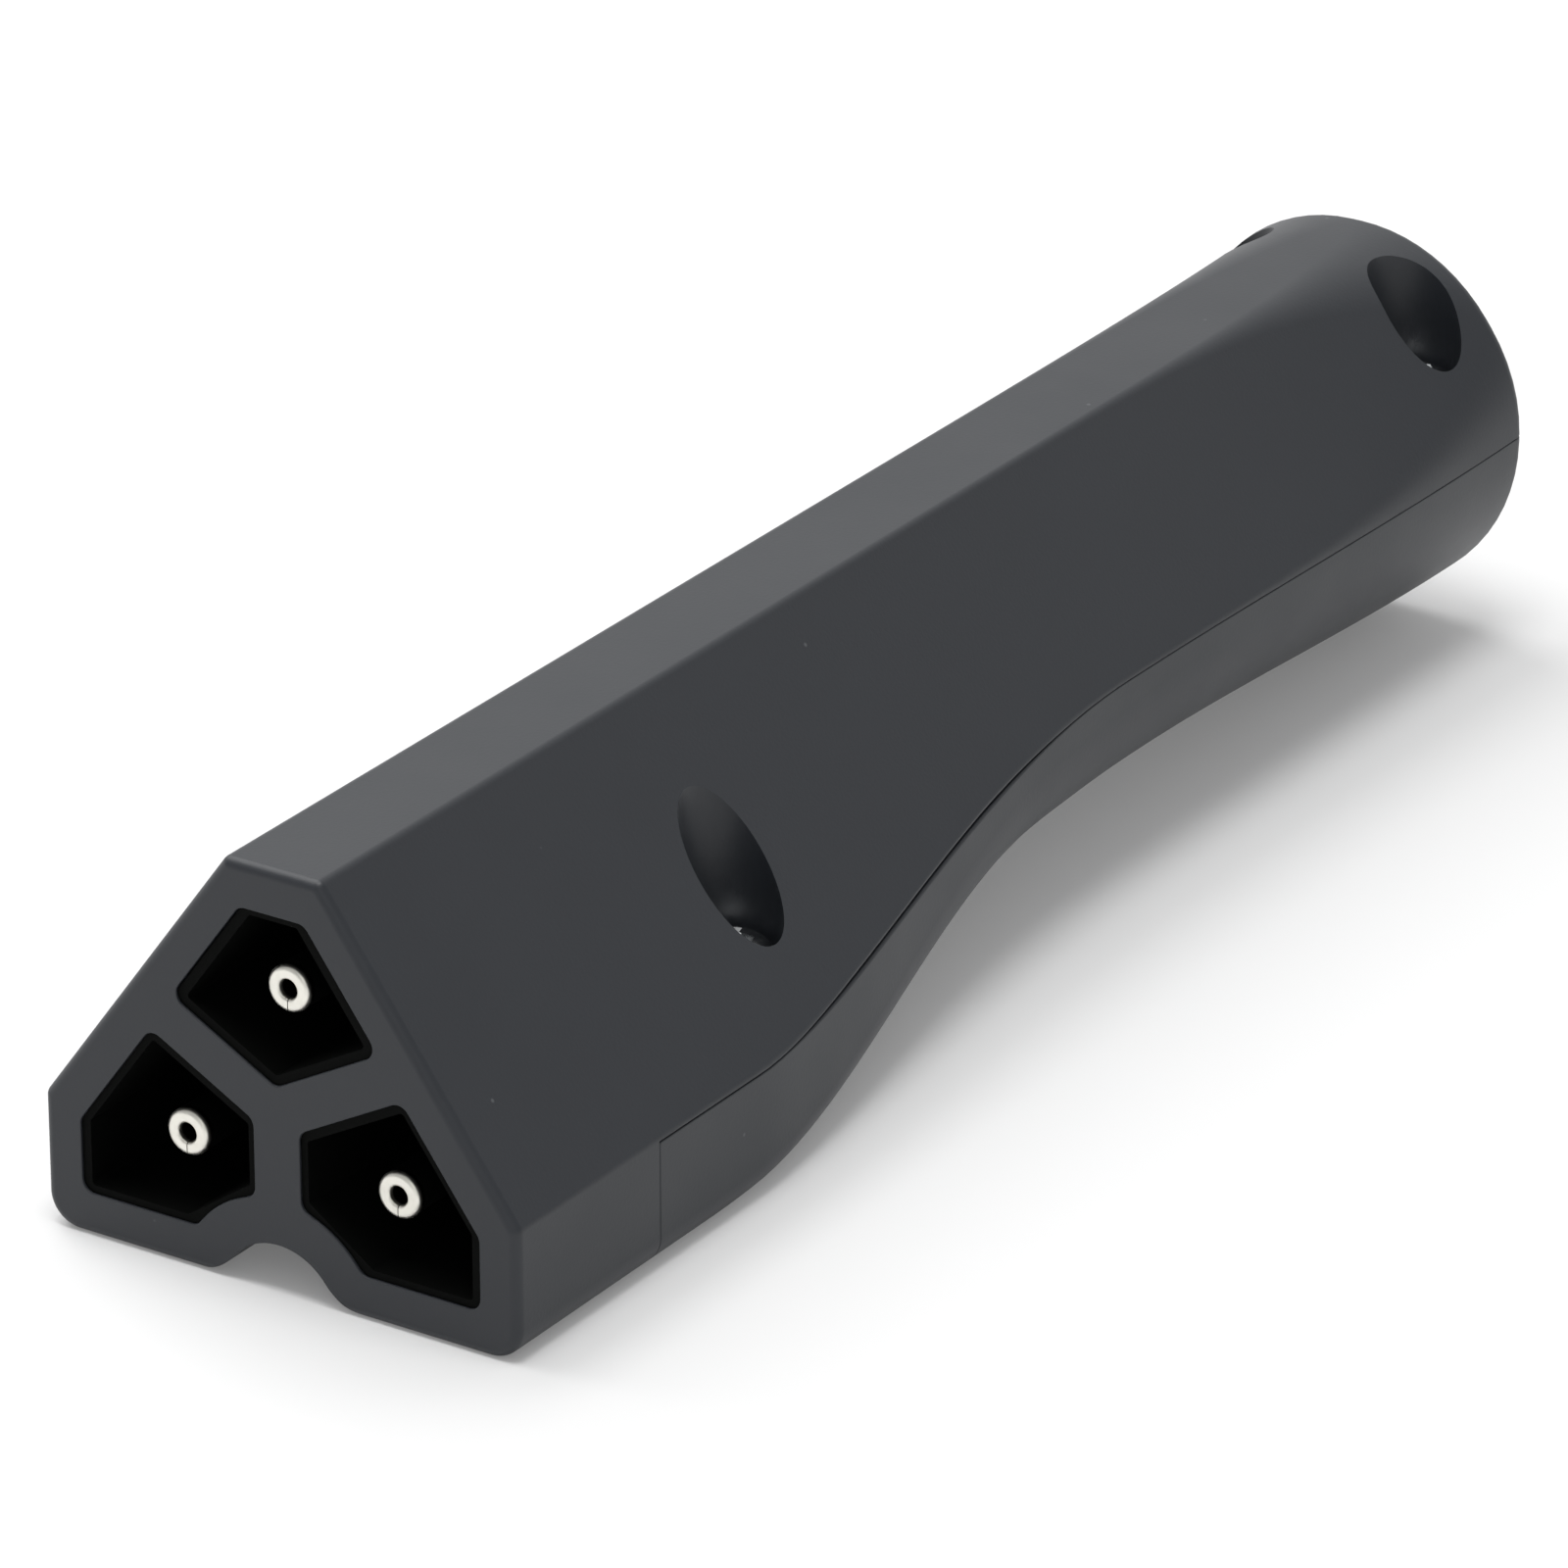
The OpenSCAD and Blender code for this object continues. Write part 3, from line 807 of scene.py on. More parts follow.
@dataclass(frozen=True)
class MouldedPlastic(Finish):
    """Injection-moulded plastic from an eroded mould: dull, with a fine grain."""

    grain_mm: float = 0.35
    grain_depth: float = 0.012
    cloud_mm: float = 14.0
    light: str = "#000000"
    cloud_share: float = 0.25
    cloud_low: float = 0.35
    sheen: float = 0.03
    dust: float = 0.0
    dust_colour: str = "#7C7F82"
    dust_gap_mm: float = 9.0
    dust_core: float = 0.012
    dust_edge: float = 0.03

    def dress(
        self, tree: bpy.types.NodeTree, place: bpy.types.NodeSocket, shader: bpy.types.Node
    ) -> None:
        """Adds the mould grain, soft clouds of tone and a few specks of dust.

        Args:
            tree: Tree of the material.
            place: Object coordinates in metres.
            shader: The principled shader.
        """
        clouds = add_node(
            tree, "ShaderNodeTexNoise",
            {"Vector": place, "Scale": 1 / (self.cloud_mm * MM), "Detail": 3.0},
        ).outputs["Fac"]
        share = add_node(
            tree, "ShaderNodeMapRange",
            {"Value": clouds, "From Min": self.cloud_low, "From Max": NOISE_HIGH,
             "To Min": 0.0, "To Max": self.cloud_share},
        ).outputs["Result"]
        colour = add_node(
            tree, "ShaderNodeMix",
            {"Factor": share, "A": linear(self.colour), "B": linear(self.light)},
            data_type="RGBA",
        ).outputs["Result"]
        if self.dust:
            specks = add_node(
                tree, "ShaderNodeTexVoronoi",
                {"Vector": place, "Scale": 1 / (self.dust_gap_mm * MM)},
            ).outputs["Distance"]
            mask = add_node(
                tree, "ShaderNodeMapRange",
                {"Value": specks, "From Min": self.dust_core, "From Max": self.dust_edge,
                 "To Min": self.dust, "To Max": 0.0},
            ).outputs["Result"]
            colour = add_node(
                tree, "ShaderNodeMix",
                {"Factor": mask, "A": colour, "B": linear(self.dust_colour)},
                data_type="RGBA",
            ).outputs["Result"]
        tree.links.new(colour, shader.inputs["Base Color"])
        grain = add_node(
            tree, "ShaderNodeTexNoise",
            {"Vector": place, "Scale": 1 / (self.grain_mm * MM), "Detail": 2.0},
        ).outputs["Fac"]
        rough = add_node(
            tree, "ShaderNodeMapRange",
            {"Value": clouds, "From Min": NOISE_LOW, "From Max": NOISE_HIGH,
             "To Min": self.roughness - self.sheen, "To Max": self.roughness + self.sheen},
        ).outputs["Result"]
        tree.links.new(rough, shader.inputs["Roughness"])
        bump = add_node(
            tree, "ShaderNodeBump",
            {"Height": grain, "Strength": 1.0, "Distance": self.grain_depth * MM},
        ).outputs["Normal"]
        tree.links.new(bump, shader.inputs["Normal"])


@dataclass(frozen=True)
class PlatedMetal(Finish):
    """Plated metal: bright, with faint unevenness from the plating bath."""

    metallic: float = 1.0
    haze_mm: float = 0.6
    haze: float = 0.08
    ripple_depth: float = 0.004
    # Dark colour painted as shade in a pin bore, and the depths between which it fades in and
    # stops
    bore_shade: str = ""
    bore_shade_from: float = 2.5
    bore_shade_fade: float = 0.4
    bore_shade_to: float = 11.0

    def dress(
        self, tree: bpy.types.NodeTree, place: bpy.types.NodeSocket, shader: bpy.types.Node
    ) -> None:
        """Adds the plating's haze and ripple, and painted shade in the pin bore where there is
        some.

        Args:
            tree: Tree of the material.
            place: Object coordinates in metres.
            shader: The principled shader.
        """
        noise = add_node(
            tree, "ShaderNodeTexNoise",
            {"Vector": place, "Scale": 1 / (self.haze_mm * MM), "Detail": 3.0},
        ).outputs["Fac"]
        rough = add_node(
            tree, "ShaderNodeMapRange",
            {"Value": noise, "From Min": NOISE_LOW, "From Max": NOISE_HIGH,
             "To Min": self.roughness - self.haze, "To Max": self.roughness + self.haze},
        ).outputs["Result"]
        tree.links.new(rough, shader.inputs["Roughness"])
        bump = add_node(
            tree, "ShaderNodeBump",
            {"Height": noise, "Strength": 1.0, "Distance": self.ripple_depth * MM},
        ).outputs["Normal"]
        tree.links.new(bump, shader.inputs["Normal"])
        # Painted shade: the colour darkens inside the pin bore
        if self.bore_shade:
            self._paint_bore_shade(tree, place, shader)

    def _paint_bore_shade(
        self, tree: bpy.types.NodeTree, place: bpy.types.NodeSocket, shader: bpy.types.Node
    ) -> None:
        """Paints shade into the pin bore: the colour turns dark with depth behind the mating
        face, standing for the shade that falls in the well.

        Args:
            tree: Tree of the material.
            place: Object coordinates in metres, of which Y is the depth in the well.
            shader: The principled shader.
        """
        fade_end = self.bore_shade_from + self.bore_shade_fade
        depth = add_node(tree, "ShaderNodeSeparateXYZ", {"Vector": place}).outputs["Y"]
        shade_ramp = add_node(
            tree, "ShaderNodeMapRange",
            {"Value": depth, "From Min": self.bore_shade_from * MM, "From Max": fade_end * MM},
        ).outputs["Result"]
        inside = add_node(
            tree, "ShaderNodeMath", {0: depth, 1: self.bore_shade_to * MM}, operation="LESS_THAN",
        ).outputs[0]
        share = add_node(
            tree, "ShaderNodeMath", {0: shade_ramp, 1: inside}, operation="MULTIPLY",
        ).outputs[0]
        # Painted shade: the plated colour gives way to the dark one with depth in the well
        colour = add_node(
            tree, "ShaderNodeMix",
            {"Factor": share, "A": linear(self.colour), "B": linear(self.bore_shade)},
            data_type="RGBA",
        ).outputs["Result"]
        tree.links.new(colour, shader.inputs["Base Color"])


# Nylon from an eroded mould: dark blue-grey, a broad soft sheen and a fine grain
HOUSING = MouldedPlastic(
    "moulded_nylon_grey", "#272A2F", 0.45, 1.47, cloud_share=0.3, light="#2C2F34", dust=0.35
)
# Phenolic insulator: a black moulding, darkened further to near-black and nearly glossless as
# painted shade deep in the wells
INSULATOR_AND_WELL_SHADE = MouldedPlastic(
    "phenolic_black_and_well_shade", "#050605", 0.7, gloss=0.06, grain_mm=0.3, light="#080908"
)
# The clamp is the housing's nylon from a smoother mould
CLAMP = MouldedPlastic("moulded_nylon_clamp", "#26282A", 0.5, light="#2B2D2F")
# Moulded rubber: black, dull, with a soft bloom
GROMMET = MouldedPlastic(
    "moulded_rubber_black", "#141414", 0.75, grain_mm=0.5, light="#1C1C1C"
)
# Tin-plated brass: a warm white metal with a satin face, and a dark colour painted deeper in as
# shade in the pin bore
CONTACT = PlatedMetal("tin_plated_brass", "#EDEBE2", 0.38, bore_shade="#2A2722")
# Turned brass of the terminal screws
TERMINAL = PlatedMetal("turned_brass", "#C9A75A", 0.3)
# Bright zinc plating on the screws: clear grey-blue glints
SCREW = PlatedMetal("zinc_plated_steel", "#E2E4E5", 0.2, haze=0.05)


def wear(obj: bpy.types.Object, material: bpy.types.Material) -> None:
    """Gives a piece one material in its only slot."""
    obj.data.materials.clear()
    obj.data.materials.append(material)


# Sub-assemblies


@dataclass
class UpperHousing:
    """Upper half of the handle and the whole nose, with its wells and key groove."""

    form: PlugForm
    inner: InnerForm
    nose_wall: float = 3.9
    web: float = 4.2
    hub_z: float = 17.9
    web_slope: float = 28.5
    well_corner: float = 1.3
    hollow_back: float = 0.09
    well_reach: float = 0.5
    lip_depth: float = 0.28
    lip_round: float = 0.12
    lip_reach: float = 0.1
    lip_ridge: float = 0.53
    lip_ridge_side: float = 0.02
    lip_slope: float = 0.4
    lip_side: float = 0.2
    lip_bottom: float = 0.38
    lip_web: float = 0.2
    lip_centre: float = 0.42
    groove_wall: float = 4.4
    groove_turn: float = 6.0
    bevel_slope: float = 35.0
    bevel_x: float = 9.8
    key_width: float = 20.0
    key_height: float = 4.85
    key_length: float = 19.5
    edge_steps: int = 6
    lip_steps: int = 4
    bend_steps: int = 8
    crown_steps: int = 24

    def skin(self) -> bpy.types.Object:
        """Outer skin as a closed body: face edge, nose, shell and rim in one loft."""
        form = self.form
        turns = [math.radians(turn) for turn in steps(90, 0, self.edge_steps)]
        rings = [
            form.whole(form.face_edge * (1 - math.sin(t)), form.face_edge * (1 - math.cos(t)))
            for t in turns
        ]
        rings.append(form.whole(form.seam_y))
        rings += [form.upper(y) for y in form.stations(form.seam_y)]
        rings += [form.upper(y, inset) for y, inset in form.rim()]
        return loft("upper_shell", rings)

    def _slope_distance(self) -> float:
        """Distance of the wells' sloping walls."""
        turn = math.radians(self.form.slope)
        width, side = self.form.nose_width / 2, self.form.side_height
        return width * math.cos(turn) + side * math.sin(turn) - self.nose_wall

    def _well_edges(self, contact: Contact) -> list[Edge]:
        """Straight edges of a well's outline; the left well is the right one's mirror."""
        slope, web_slope = self.form.slope, self.web_slope
        web = self.hub_z * math.cos(math.radians(web_slope))
        if contact is Contact.TOP:
            return [
                (90, self.form.height - self.nose_wall),
                (180 - slope, self._slope_distance()),
                (270 - web_slope, -web - self.web / 2),
                (270 + web_slope, -web - self.web / 2),
                (360 + slope, self._slope_distance()),
            ]
        bevel = math.radians(self.bevel_slope)
        foot = self.bevel_x * math.sin(bevel) + self.nose_wall * math.cos(bevel)
        return [
            (0, self.form.nose_width / 2 - self.nose_wall),
            (slope, self._slope_distance()),
            (90 + web_slope, web - self.web / 2),
            (180, -self.web / 2),
            (270 - self.bevel_slope, -foot),
            (270, -self.nose_wall),
        ]

    def well(self, contact: Contact) -> bpy.types.Object:
        """Cutter for one well behind its lip.

        Args:
            contact: Which well.

        Returns:
            The cutter.
        """
        flip = -1 if contact is Contact.LEFT else 1
        points = [
            (flip * x, z)
            for x, z in outline(
                self._well_edges(contact), self.well_corner, 0.0, self.edge_steps
            )
        ]
        ends = (self.lip_depth, self.form.seam_y + self.well_reach)
        return loft("well", [along_y(points, y) for y in ends])

    def _mouth(self, contact: Contact, inset: float) -> list[Point]:
        """Outline of a well's lip, which follows the key groove in the lower wells.

        Args:
            contact: Which well; the left one is the right one's mirror.
            inset: How far the outline is moved in.

        Returns:
            The points of the outline.
        """
        edges = self._well_edges(contact)
        if contact is Contact.TOP:
            side = self.lip_ridge_side
            moved = (self.lip_ridge, side, self.lip_web, self.lip_web, side)
            edges = [(turn, away - lip) for (turn, away), lip in zip(edges, moved)]
            return outline(edges, self.well_corner, inset, self.edge_steps)
        moved = (self.lip_side, self.lip_slope, self.lip_web, self.lip_centre)
        straight = [(turn, away - lip) for (turn, away), lip in zip(edges, moved)]
        radius, centre_z = self._groove_crown()
        radius += self.groove_wall
        floor = self.nose_wall + self.lip_bottom
        side = -straight[3][1]
        high = math.degrees(math.acos(side / radius))
        low = math.degrees(math.asin((floor - centre_z) / radius))
        bend = [
            (180 + turn, -radius - centre_z * math.sin(math.radians(turn)))
            for turn in (high, low)
        ]
        before_bend = list(zip(straight, straight[1:] + bend[:1]))
        after_bend = [(bend[1], (270, -floor)), ((270, -floor), (360, straight[0][1]))]
        points: list[Point] = []
        for before, after in before_bend:
            points += corner(before, after, self.well_corner, inset, self.edge_steps)
        turns = steps(high - self.groove_turn, low + self.groove_turn, self.bend_steps)
        points += arc((0, centre_z), radius + inset, turns)
        for before, after in after_bend:
            points += corner(before, after, self.well_corner, inset, self.edge_steps)
        flip = -1 if contact is Contact.LEFT else 1
        return [(flip * x, z) for x, z in points]

    def lip(self, contact: Contact) -> bpy.types.Object:
        """Cutter for the small round lip of one well at the mating face.

        Args:
            contact: Which well.

        Returns:
            The cutter.
        """
        edge = self.lip_round
        rings = [along_y(self._mouth(contact, -edge), -BEYOND)]
        for turn in (math.radians(t) for t in steps(0, 90, self.lip_steps)):
            inset = -edge * (1 - math.sin(turn))
            rings.append(along_y(self._mouth(contact, inset), edge * (1 - math.cos(turn))))
        end = self.lip_depth + self.lip_reach
        rings.append(along_y(self._mouth(contact, 0.0), end))
        return loft("lip", rings)

    def _groove_crown(self) -> tuple[float, float]:
        """Radius of the key groove's arcs and height of its crown's centre."""
        radius = (self.key_width ** 2 / 4 + self.key_height ** 2) / (4 * self.key_height)
        return radius, self.key_height - radius

    def key_groove(self) -> bpy.types.Object:
        """Cutter for the key groove: a round crown that flows into round lips."""
        half, high = self.key_width / 2, self.key_height
        radius, crown_z = self._groove_crown()
        turn = math.degrees(math.atan2(radius - high / 2, half / 2))
        lip_steps = self.crown_steps // 2
        left = arc((-half, radius), radius, steps(-90, -turn, lip_steps))
        crown = arc((0, crown_z), radius, steps(180 - turn, turn, self.crown_steps))[1:-1]
        right = arc((half, radius), radius, steps(180 + turn, 270, lip_steps))
        points = left + crown + right + [(half, -BEYOND), (-half, -BEYOND)]
        return loft("key_groove", [along_y(points, y) for y in (-BEYOND, self.key_length)])

    def screw_wells(self) -> bpy.types.Object:
        """Cutters for the four screw wells and the clear holes under them."""
        inner = self.inner
        wide = inner.recess_d / 2
        narrow = inner.screw_d / 2 + inner.pass_play
        low, top = -BEYOND, self.form.height + BEYOND
        return join([
            turned_z("screw_well", (x, y), [(low, narrow), (z, narrow), (z, wide), (top, wide)])
            for x, y, z in inner.screw_places()
        ])

    def build(self) -> bpy.types.Object:
        """Builds the housing.

        Returns:
            The finished piece.
        """
        boss_d = self.inner.recess_d + 2 * self.inner.boss_wall
        shell = self.skin()
        hollow = self.inner.hollow(self.form.seam_y + self.hollow_back)
        combine(hollow, join(self.inner.posts(boss_d)))
        combine(shell, join([self.well(c) for c in Contact] + [self.key_groove()]))
        combine(shell, join([self.lip(c) for c in Contact]))
        combine(shell, hollow)
        combine(shell, self.screw_wells())
        combine(shell, self.inner.cord_seat())
        smooth(shell)
        return shell


@dataclass
class LowerHousing:
    """Lower half of the handle, from the seam behind the nose to the cable end."""

    form: PlugForm
    inner: InnerForm
    edge_steps: int = 4

    def skin(self) -> bpy.types.Object:
        """Outer skin as a closed body, with a small round edge at the seam."""
        form = self.form
        start = form.seam_y + form.part_gap * form.open_share(form.seam_y)
        edge = form.soft_edge(form.seam_y)
        rings = [
            form.lower(start + edge * (1 - math.sin(t)), edge * (1 - math.cos(t)))
            for t in (math.radians(turn) for turn in steps(90, 0, self.edge_steps))
        ]
        rings += [form.lower(y) for y in form.stations(start + 2 * edge)]
        rings += [form.lower(y, inset) for y, inset in form.rim()]
        return loft("lower_shell", rings)

    def saddle(self) -> bpy.types.Object:
        """Block under the cord with a round seat for it."""
        inner = self.inner
        radius = inner.cord_d / 2
        half = radius + inner.rib_thick
        high = inner.clamp_seat - inner.saddle_drop
        y0, y1 = inner.clamp_y - inner.clamp_width / 2, inner.clamp_y + inner.clamp_width / 2
        points = [(-half, 0.0), (half, 0.0), (half, high), (-half, high)]
        block = loft("saddle", [along_y(points, y0), along_y(points, y1)])
        cord = [(y0 - BEYOND, radius), (y1 + BEYOND, radius)]
        combine(block, turned_y("cord", (0, self.form.end_z), cord))
        return block

    def screw_holes(self) -> bpy.types.Object:
        """Blind holes for the housing screws and the clamp screws."""
        inner = self.inner
        top = self.form.height + BEYOND
        wide = inner.screw_d / 2 + inner.bite_play
        narrow = inner.clamp_screw_d / 2 + inner.bite_play
        deep = inner.screw_length + inner.hole_play
        holes = [
            turned_z("hole", (x, y), [(z - deep, wide), (top, wide)])
            for x, y, z in inner.screw_places()
        ]
        floor = inner.clamp_seat - inner.clamp_screw_length - inner.hole_play
        holes += [
            turned_z("hole", (side.value * inner.clamp_pitch / 2, inner.clamp_y),
                     [(floor, narrow), (top, narrow)])
            for side in Side
        ]
        return join(holes)

    def build(self) -> bpy.types.Object:
        """Builds the housing.

        Returns:
            The finished piece.
        """
        inner = self.inner
        posts = inner.posts(inner.post_d)
        posts += [
            turned_z("clamp_post", (side.value * inner.clamp_pitch / 2, inner.clamp_y),
                     [(0, inner.clamp_post_d / 2), (inner.clamp_seat, inner.clamp_post_d / 2)])
            for side in Side
        ]
        hollow = inner.hollow(self.form.seam_y)
        combine(hollow, join(posts + [self.saddle()]))
        shell = self.skin()
        combine(shell, hollow)
        combine(shell, self.screw_holes())
        combine(shell, inner.cord_seat())
        smooth(shell)
        return shell


@dataclass
class ContactSet:
    """The three turned contacts, with a rounded tip, a pin bore and a wire barrel."""

    pitch: float = 23.2
    high: float = 29.3
    low: float = 12.0
    tip_y: float = 2.2
    tip_length: float = 1.2
    tip_d: float = 4.6
    tip_round: float = 0.55
    tip_rim: float = 0.2
    shank_d: float = 3.8
    shank_end: float = 20.0
    collar_y: float = 28.55
    collar_width: float = 3.0
    collar_d: float = 7.8
    barrel_end: float = 42.2
    barrel_d: float = 6.8
    socket_d: float = 1.9
    socket_length: float = 8.0
    mouth_round: float = 0.3
    wire_d: float = 3.8
    wire_length: float = 8.0
    screw_y: float = 39.0
    screw_d: float = 2.6
    slit: float = 0.1
    slit_end: float = 2.0
    tip_steps: int = 6
    mouth_steps: int = 5

    def place(self, contact: Contact) -> Point:
        """Place of a contact's axis in X and Z."""
        if contact is Contact.TOP:
            return (0.0, self.high)
        side = Side.LEFT if contact is Contact.LEFT else Side.RIGHT
        return (side.value * self.pitch / 2, self.low)

    def _body(self, centre: Point) -> bpy.types.Object:
        """Outer form from the rounded tip over the collar to the barrel."""
        edge, half = self.tip_round, self.tip_d / 2
        turns = [math.radians(turn) for turn in steps(0, 90, self.tip_steps)]
        profile = [
            (self.tip_y + edge * (1 - math.cos(t)), half - edge * (1 - math.sin(t)))
            for t in turns
        ]
        tip_end = self.tip_y + self.tip_length
        collar_end = self.collar_y + self.collar_width
        profile += [
            (tip_end - self.tip_rim, half), (tip_end, half - self.tip_rim),
            (tip_end, self.shank_d / 2), (self.shank_end, self.shank_d / 2),
            (self.shank_end, half), (self.collar_y, half),
            (self.collar_y, self.collar_d / 2), (collar_end, self.collar_d / 2),
            (collar_end, self.barrel_d / 2), (self.barrel_end, self.barrel_d / 2),
        ]
        return turned_y("contact", centre, profile)

    def _pin_bore(self, centre: Point) -> bpy.types.Object:
        """Cutter for the pin's bore and its rounded mouth."""
        edge, half = self.mouth_round, self.socket_d / 2
        turns = [math.radians(turn) for turn in steps(0, 90, self.mouth_steps)]
        profile = [(self.tip_y - BEYOND, half + edge)]
        profile += [
            (self.tip_y + edge * (1 - math.cos(t)), half + edge * (1 - math.sin(t)))
            for t in turns
        ]
        profile.append((self.tip_y + self.socket_length, half))
        return turned_y("pin_bore", centre, profile)

    def build(self, contact: Contact) -> bpy.types.Object:
        """Builds one contact.

        Args:
            contact: Which contact.

        Returns:
            The finished piece.
        """
        x, z = centre = self.place(contact)
        body = self._body(centre)
        combine(body, self._pin_bore(centre))
        start = self.barrel_end - self.wire_length
        wire = [(start, self.wire_d / 2), (self.barrel_end + BEYOND, self.wire_d / 2)]
        combine(body, turned_y("wire_bore", centre, wire))
        hole = [(z, self.screw_d / 2), (z + self.barrel_d, self.screw_d / 2)]
        combine(body, turned_z("screw_hole", (x, self.screw_y), hole))
        left, right, low = x - self.slit / 2, x + self.slit / 2, z - self.tip_d
        points = [(left, low), (right, low), (right, z), (left, z)]
        ends = (self.tip_y - BEYOND, self.tip_y + self.socket_length - self.slit_end)
        combine(body, loft("slit", [along_y(points, y) for y in ends]))
        smooth(body)
        body.name = f"turned_contact_{contact.value}"
        return body


@dataclass
class CrossScrew:
    """A housing screw: domed head with a tapered cross recess, over a plain shank."""

    head_d: float = 7.6
    head_height: float = 2.6
    shank_d: float = 3.8
    length: float = 13.0
    end_bevel: float = 0.4
    edge_share: float = 0.35
    dome_turn: float = 84.0
    dome_steps: int = 12
    arm_top: float = 2.3
    arm_foot: float = 1.1
    arm_width: float = 0.57
    foot_width: float = 0.3
    recess_depth: float = 1.45

    def _arm(self, place: tuple[float, float, float], turn: float) -> bpy.types.Object:
        """Cutter for two opposite arms of the cross, narrower towards its foot.

        Args:
            place: Place of the screw's seat.
            turn: Direction of the arms in degrees.

        Returns:
            The cutter.
        """
        x, y, z = place
        top = z + self.head_height
        along = Vector((math.cos(math.radians(turn)), math.sin(math.radians(turn))))
        across = Vector((-along.y, along.x))
        rings = []
        for high, long, wide in (
            (top - self.recess_depth, self.arm_foot, self.foot_width),
            (top, self.arm_top, self.arm_width),
            (top + BEYOND, self.arm_top, self.arm_width),
        ):
            corners = [along * i * long + across * j * wide for i, j in
                       ((1, -1), (1, 1), (-1, 1), (-1, -1))]
            rings.append([at(x + c.x, y + c.y, high) for c in corners])
        return loft("arm", rings)

    def build(self, place: tuple[float, float, float], turn: float) -> bpy.types.Object:
        """Builds one screw.

        Args:
            place: Place of its seat: X, Y and height.
            turn: Direction of the cross in degrees, as it was left when tightened.

        Returns:
            The finished piece.
        """
        x, y, z = place
        half, shank = self.head_d / 2, self.shank_d / 2
        edge = self.head_height * self.edge_share
        dome = self.head_height - edge
        foot = z - self.length
        turns = [math.radians(turn_up) for turn_up in steps(0, self.dome_turn, self.dome_steps)]
        profile = [(foot, shank - self.end_bevel), (foot + self.end_bevel, shank)]
        profile += [(z, shank), (z, half)]
        profile += [(z + edge + dome * math.sin(t), half * math.cos(t)) for t in turns]
        body = turned_z("cross_screw", (x, y), profile)
        for angle in (turn, turn + 90):
            combine(body, self._arm(place, angle))
        smooth(body)
        return body


@dataclass(frozen=True)
class Lamp:
    """A square soft lamp, by its place in metres, its side and its power in watts."""

    name: str
    place: tuple[float, float, float]
    size: float
    power: float


# Broad light over the left shoulder, which gives the ridge its tone
OVERHEAD = Lamp("overhead", (-0.85, 0.2, 1.25), 1.2, 13.5)
# Weak light from the front right, which opens the wells a little
FILL = Lamp("fill", (0.9, -1.1, 0.8), 0.8, 1.5)
# Small light straight above, which reaches the screw heads in their wells
SPARK = Lamp("spark", (0.1, -0.1, 1.5), 0.6, 10.0)


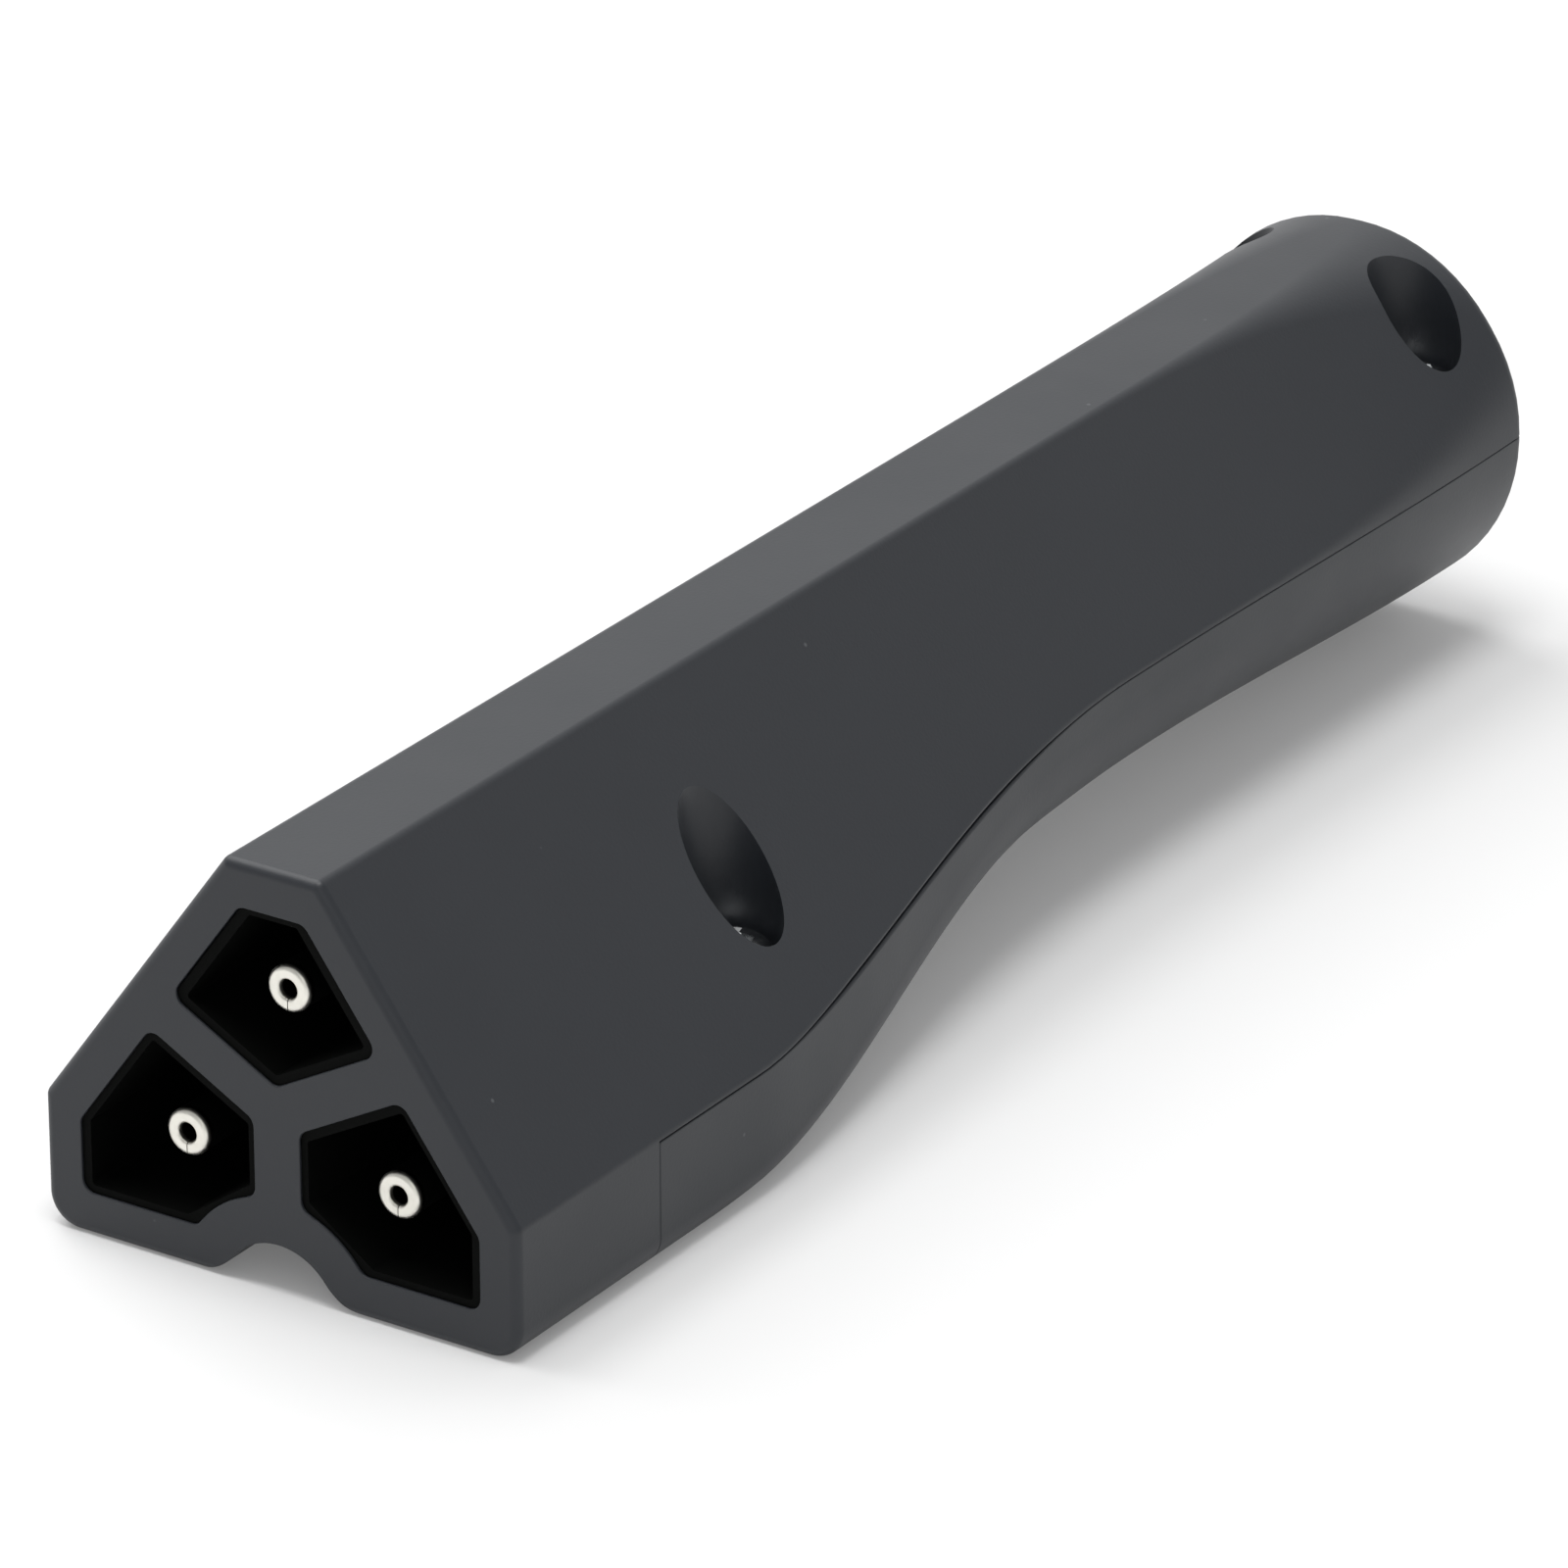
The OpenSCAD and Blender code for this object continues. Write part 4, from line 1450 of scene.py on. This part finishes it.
@dataclass
class Studio:
    """Pale floor, white backdrop and soft lamps, in a room that is dimmer in front."""

    floor_z: float
    floor_size: float = 6.0
    backdrop: tuple[float, float, float] = (-0.66, 0.75, 0.0)
    room: float = 0.47
    level: float = 0.43
    glow: float = 0.14
    backdrop_edge: float = 0.9
    white: str = "#FFFFFF"
    floor_colour: str = "#E0E0E0"
    floor_roughness: float = 0.9
    middle: tuple[float, float, float] = (0.0, 0.09, 0.0)

    def _seen(self, tree: bpy.types.NodeTree) -> bpy.types.NodeSocket:
        """Mask of camera, glossy and transmission rays."""
        path = add_node(tree, "ShaderNodeLightPath")
        either = add_node(
            tree, "ShaderNodeMath",
            {0: path.outputs["Is Camera Ray"], 1: path.outputs["Is Glossy Ray"]},
            operation="MAXIMUM",
        ).outputs[0]
        return add_node(
            tree, "ShaderNodeMath",
            {0: either, 1: path.outputs["Is Transmission Ray"]}, operation="MAXIMUM",
        ).outputs[0]

    def world(self) -> None:
        """White for the camera; the room it lights with is brightest at the backdrop."""
        world = bpy.data.worlds.new("studio")
        bpy.context.scene.world = world
        world.use_nodes = True
        tree = world.node_tree
        tree.nodes.clear()
        toward = add_node(
            tree, "ShaderNodeVectorMath",
            {0: add_node(tree, "ShaderNodeTexCoord").outputs["Generated"], 1: self.backdrop},
            operation="DOT_PRODUCT",
        ).outputs["Value"]
        room = add_node(
            tree, "ShaderNodeMapRange",
            {"Value": toward, "From Min": 0.0, "From Max": self.backdrop_edge,
             "To Min": self.room, "To Max": 1.0},
            interpolation_type="SMOOTHSTEP",
        ).outputs["Result"]
        path = add_node(tree, "ShaderNodeLightPath")
        soft = add_node(
            tree, "ShaderNodeMix", {"Factor": self._seen(tree), "A": self.level, "B": room},
        ).outputs["Result"]
        strength = add_node(
            tree, "ShaderNodeMath", {0: soft, 1: path.outputs["Is Camera Ray"]},
            operation="MAXIMUM",
        ).outputs[0]
        shade = add_node(
            tree, "ShaderNodeBackground", {"Color": linear(self.white), "Strength": strength}
        )
        add_node(tree, "ShaderNodeOutputWorld", {"Surface": shade.outputs[0]})

    def floor(self) -> None:
        """Pale floor that keeps the plug's shadow."""
        deselect()
        bpy.ops.mesh.primitive_plane_add(size=self.floor_size, location=(0, 0, self.floor_z))
        plane = bpy.context.object
        plane.name = "floor"
        made = bpy.data.materials.new("matt_white_floor")
        made.use_nodes = True
        tree = made.node_tree
        tree.nodes.clear()
        glow = add_node(
            tree, "ShaderNodeMath", {0: self._seen(tree), 1: self.glow}, operation="MULTIPLY",
        ).outputs[0]
        shader = add_node(
            tree, "ShaderNodeBsdfPrincipled",
            {"Base Color": linear(self.floor_colour), "Roughness": self.floor_roughness,
             "Emission Color": linear(self.white), "Emission Strength": glow},
        )
        add_node(tree, "ShaderNodeOutputMaterial", {"Surface": shader.outputs["BSDF"]})
        wear(plane, made)

    def light(self, lamp: Lamp) -> None:
        """Hangs one lamp and turns it to the middle of the plug.

        Args:
            lamp: The lamp.
        """
        deselect()
        bpy.ops.object.light_add(type="AREA", location=lamp.place)
        made = bpy.context.object
        made.name = lamp.name
        made.data.shape = "SQUARE"
        made.data.size = lamp.size
        made.data.energy = lamp.power
        aim = Vector(self.middle) - Vector(lamp.place)
        made.rotation_euler = aim.to_track_quat("-Z", "Y").to_euler()

    def build(self) -> None:
        """Builds the surroundings, the floor and the lamps."""
        self.world()
        self.floor()
        for lamp in (OVERHEAD, FILL, SPARK):
            self.light(lamp)


@dataclass
class PhotoCamera:
    """Camera at the photograph's viewing angle."""

    azimuth: float = 33.37
    elevation: float = 24.493
    roll: float = -0.141
    distance: float = 986.73
    lens: float = 236.66
    sensor: float = 36.0
    clip: tuple[float, float] = (0.01, 50.0)
    aim: tuple[float, float, float] = (-4.319, 88.833, 15.175)

    def build(self) -> None:
        """Makes the camera and sets it as the scene's."""
        turn, rise, roll = (math.radians(v) for v in (self.azimuth, self.elevation, self.roll))
        back = Vector((
            math.sin(turn) * math.cos(rise), -math.cos(turn) * math.cos(rise), math.sin(rise)
        ))
        right = Vector((math.cos(turn), math.sin(turn), 0.0))
        up = back.cross(right)
        right, up = (
            right * math.cos(roll) + up * math.sin(roll),
            up * math.cos(roll) - right * math.sin(roll),
        )
        data = bpy.data.cameras.new("photo_camera")
        data.lens = self.lens
        data.sensor_width = self.sensor
        data.clip_start, data.clip_end = self.clip
        camera = bpy.data.objects.new("photo_camera", data)
        bpy.context.scene.collection.objects.link(camera)
        place = at(*self.aim) + back * (self.distance * MM)
        turned = Matrix((right, up, back)).transposed().to_4x4()
        camera.matrix_world = Matrix.Translation(place) @ turned
        bpy.context.scene.camera = camera


@dataclass
class ChargerPlug:
    """The whole plug: modelled housings, contacts and screws round the other solids."""

    form: PlugForm = field(default_factory=PlugForm)
    screw_turns: tuple[float, ...] = (12.0, 20.0, 70.0, 50.0)

    def build(self) -> None:
        """Builds and dresses every piece."""
        inner = InnerForm(self.form)
        finishes = {
            finish: finish.material()
            for finish in (HOUSING, INSULATOR_AND_WELL_SHADE, CLAMP, GROMMET, CONTACT, TERMINAL, SCREW)
        }
        self.dress_solids(finishes)
        for piece, node in (
            (UpperHousing(self.form, inner).build(), "upper_housing"),
            (LowerHousing(self.form, inner).build(), "lower_housing"),
        ):
            self.seat(piece, node, finishes[HOUSING])
        names = [f"{end}_{side.name.lower()}" for end in ("front", "rear") for side in Side]
        for name, place, turn in zip(names, inner.screw_places(), self.screw_turns):
            piece = CrossScrew().build(place, turn)
            piece.name = f"cross_screw_{name}"
            self.seat(piece, f"housing_screw_{name}", finishes[SCREW])
        contacts = ContactSet()
        for contact in Contact:
            piece = contacts.build(contact)
            self.seat(piece, f"contact_{contact.value}", finishes[CONTACT])

    def seat(
        self, piece: bpy.types.Object, node: str, material: bpy.types.Material
    ) -> None:
        """Puts a modelled piece in the place of its solid.

        Args:
            piece: The piece.
            node: Solid that it stands for.
            material: Its finish.
        """
        wear(piece, material)
        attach(piece, "root")
        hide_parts(node)
        LOG.info("%s: %d faces", piece.name, len(piece.data.polygons))

    def dress_solids(self, finishes: Mapping[Finish, bpy.types.Material]) -> None:
        """Gives each solid that stays its finish.

        Args:
            finishes: Material of each finish.
        """
        by_name = {
            # The insulators' near-black is partly their own colour and partly painted shade in
            # the wells
            "contact_carrier": INSULATOR_AND_WELL_SHADE,
            "contact_retainer": INSULATOR_AND_WELL_SHADE,
            "contact_sleeve": INSULATOR_AND_WELL_SHADE,
            "contact": CONTACT,
            "terminal_screw": TERMINAL,
            "cord_grommet": GROMMET,
            "cord_clamp_screw": SCREW,
            "cord_clamp": CLAMP,
            "retainer_screw": SCREW,
            "housing_screw": SCREW,
            "upper_housing": HOUSING,
            "lower_housing": HOUSING,
        }
        for name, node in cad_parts.items():
            finish = next(f for start, f in by_name.items() if name.startswith(start))
            wear(node, finishes[finish])
            LOG.info("%s: %s", name, finish.name)


def main() -> None:
    """Builds the camera, the plug and the studio round it."""
    logging.basicConfig(level=logging.INFO, format="%(name)s: %(message)s")
    bpy.context.scene.view_settings.view_transform = "Standard"
    PhotoCamera().build()
    ChargerPlug().build()
    Studio(CAD_BOX[0].z).build()


if __name__ == "__main__":
    main()
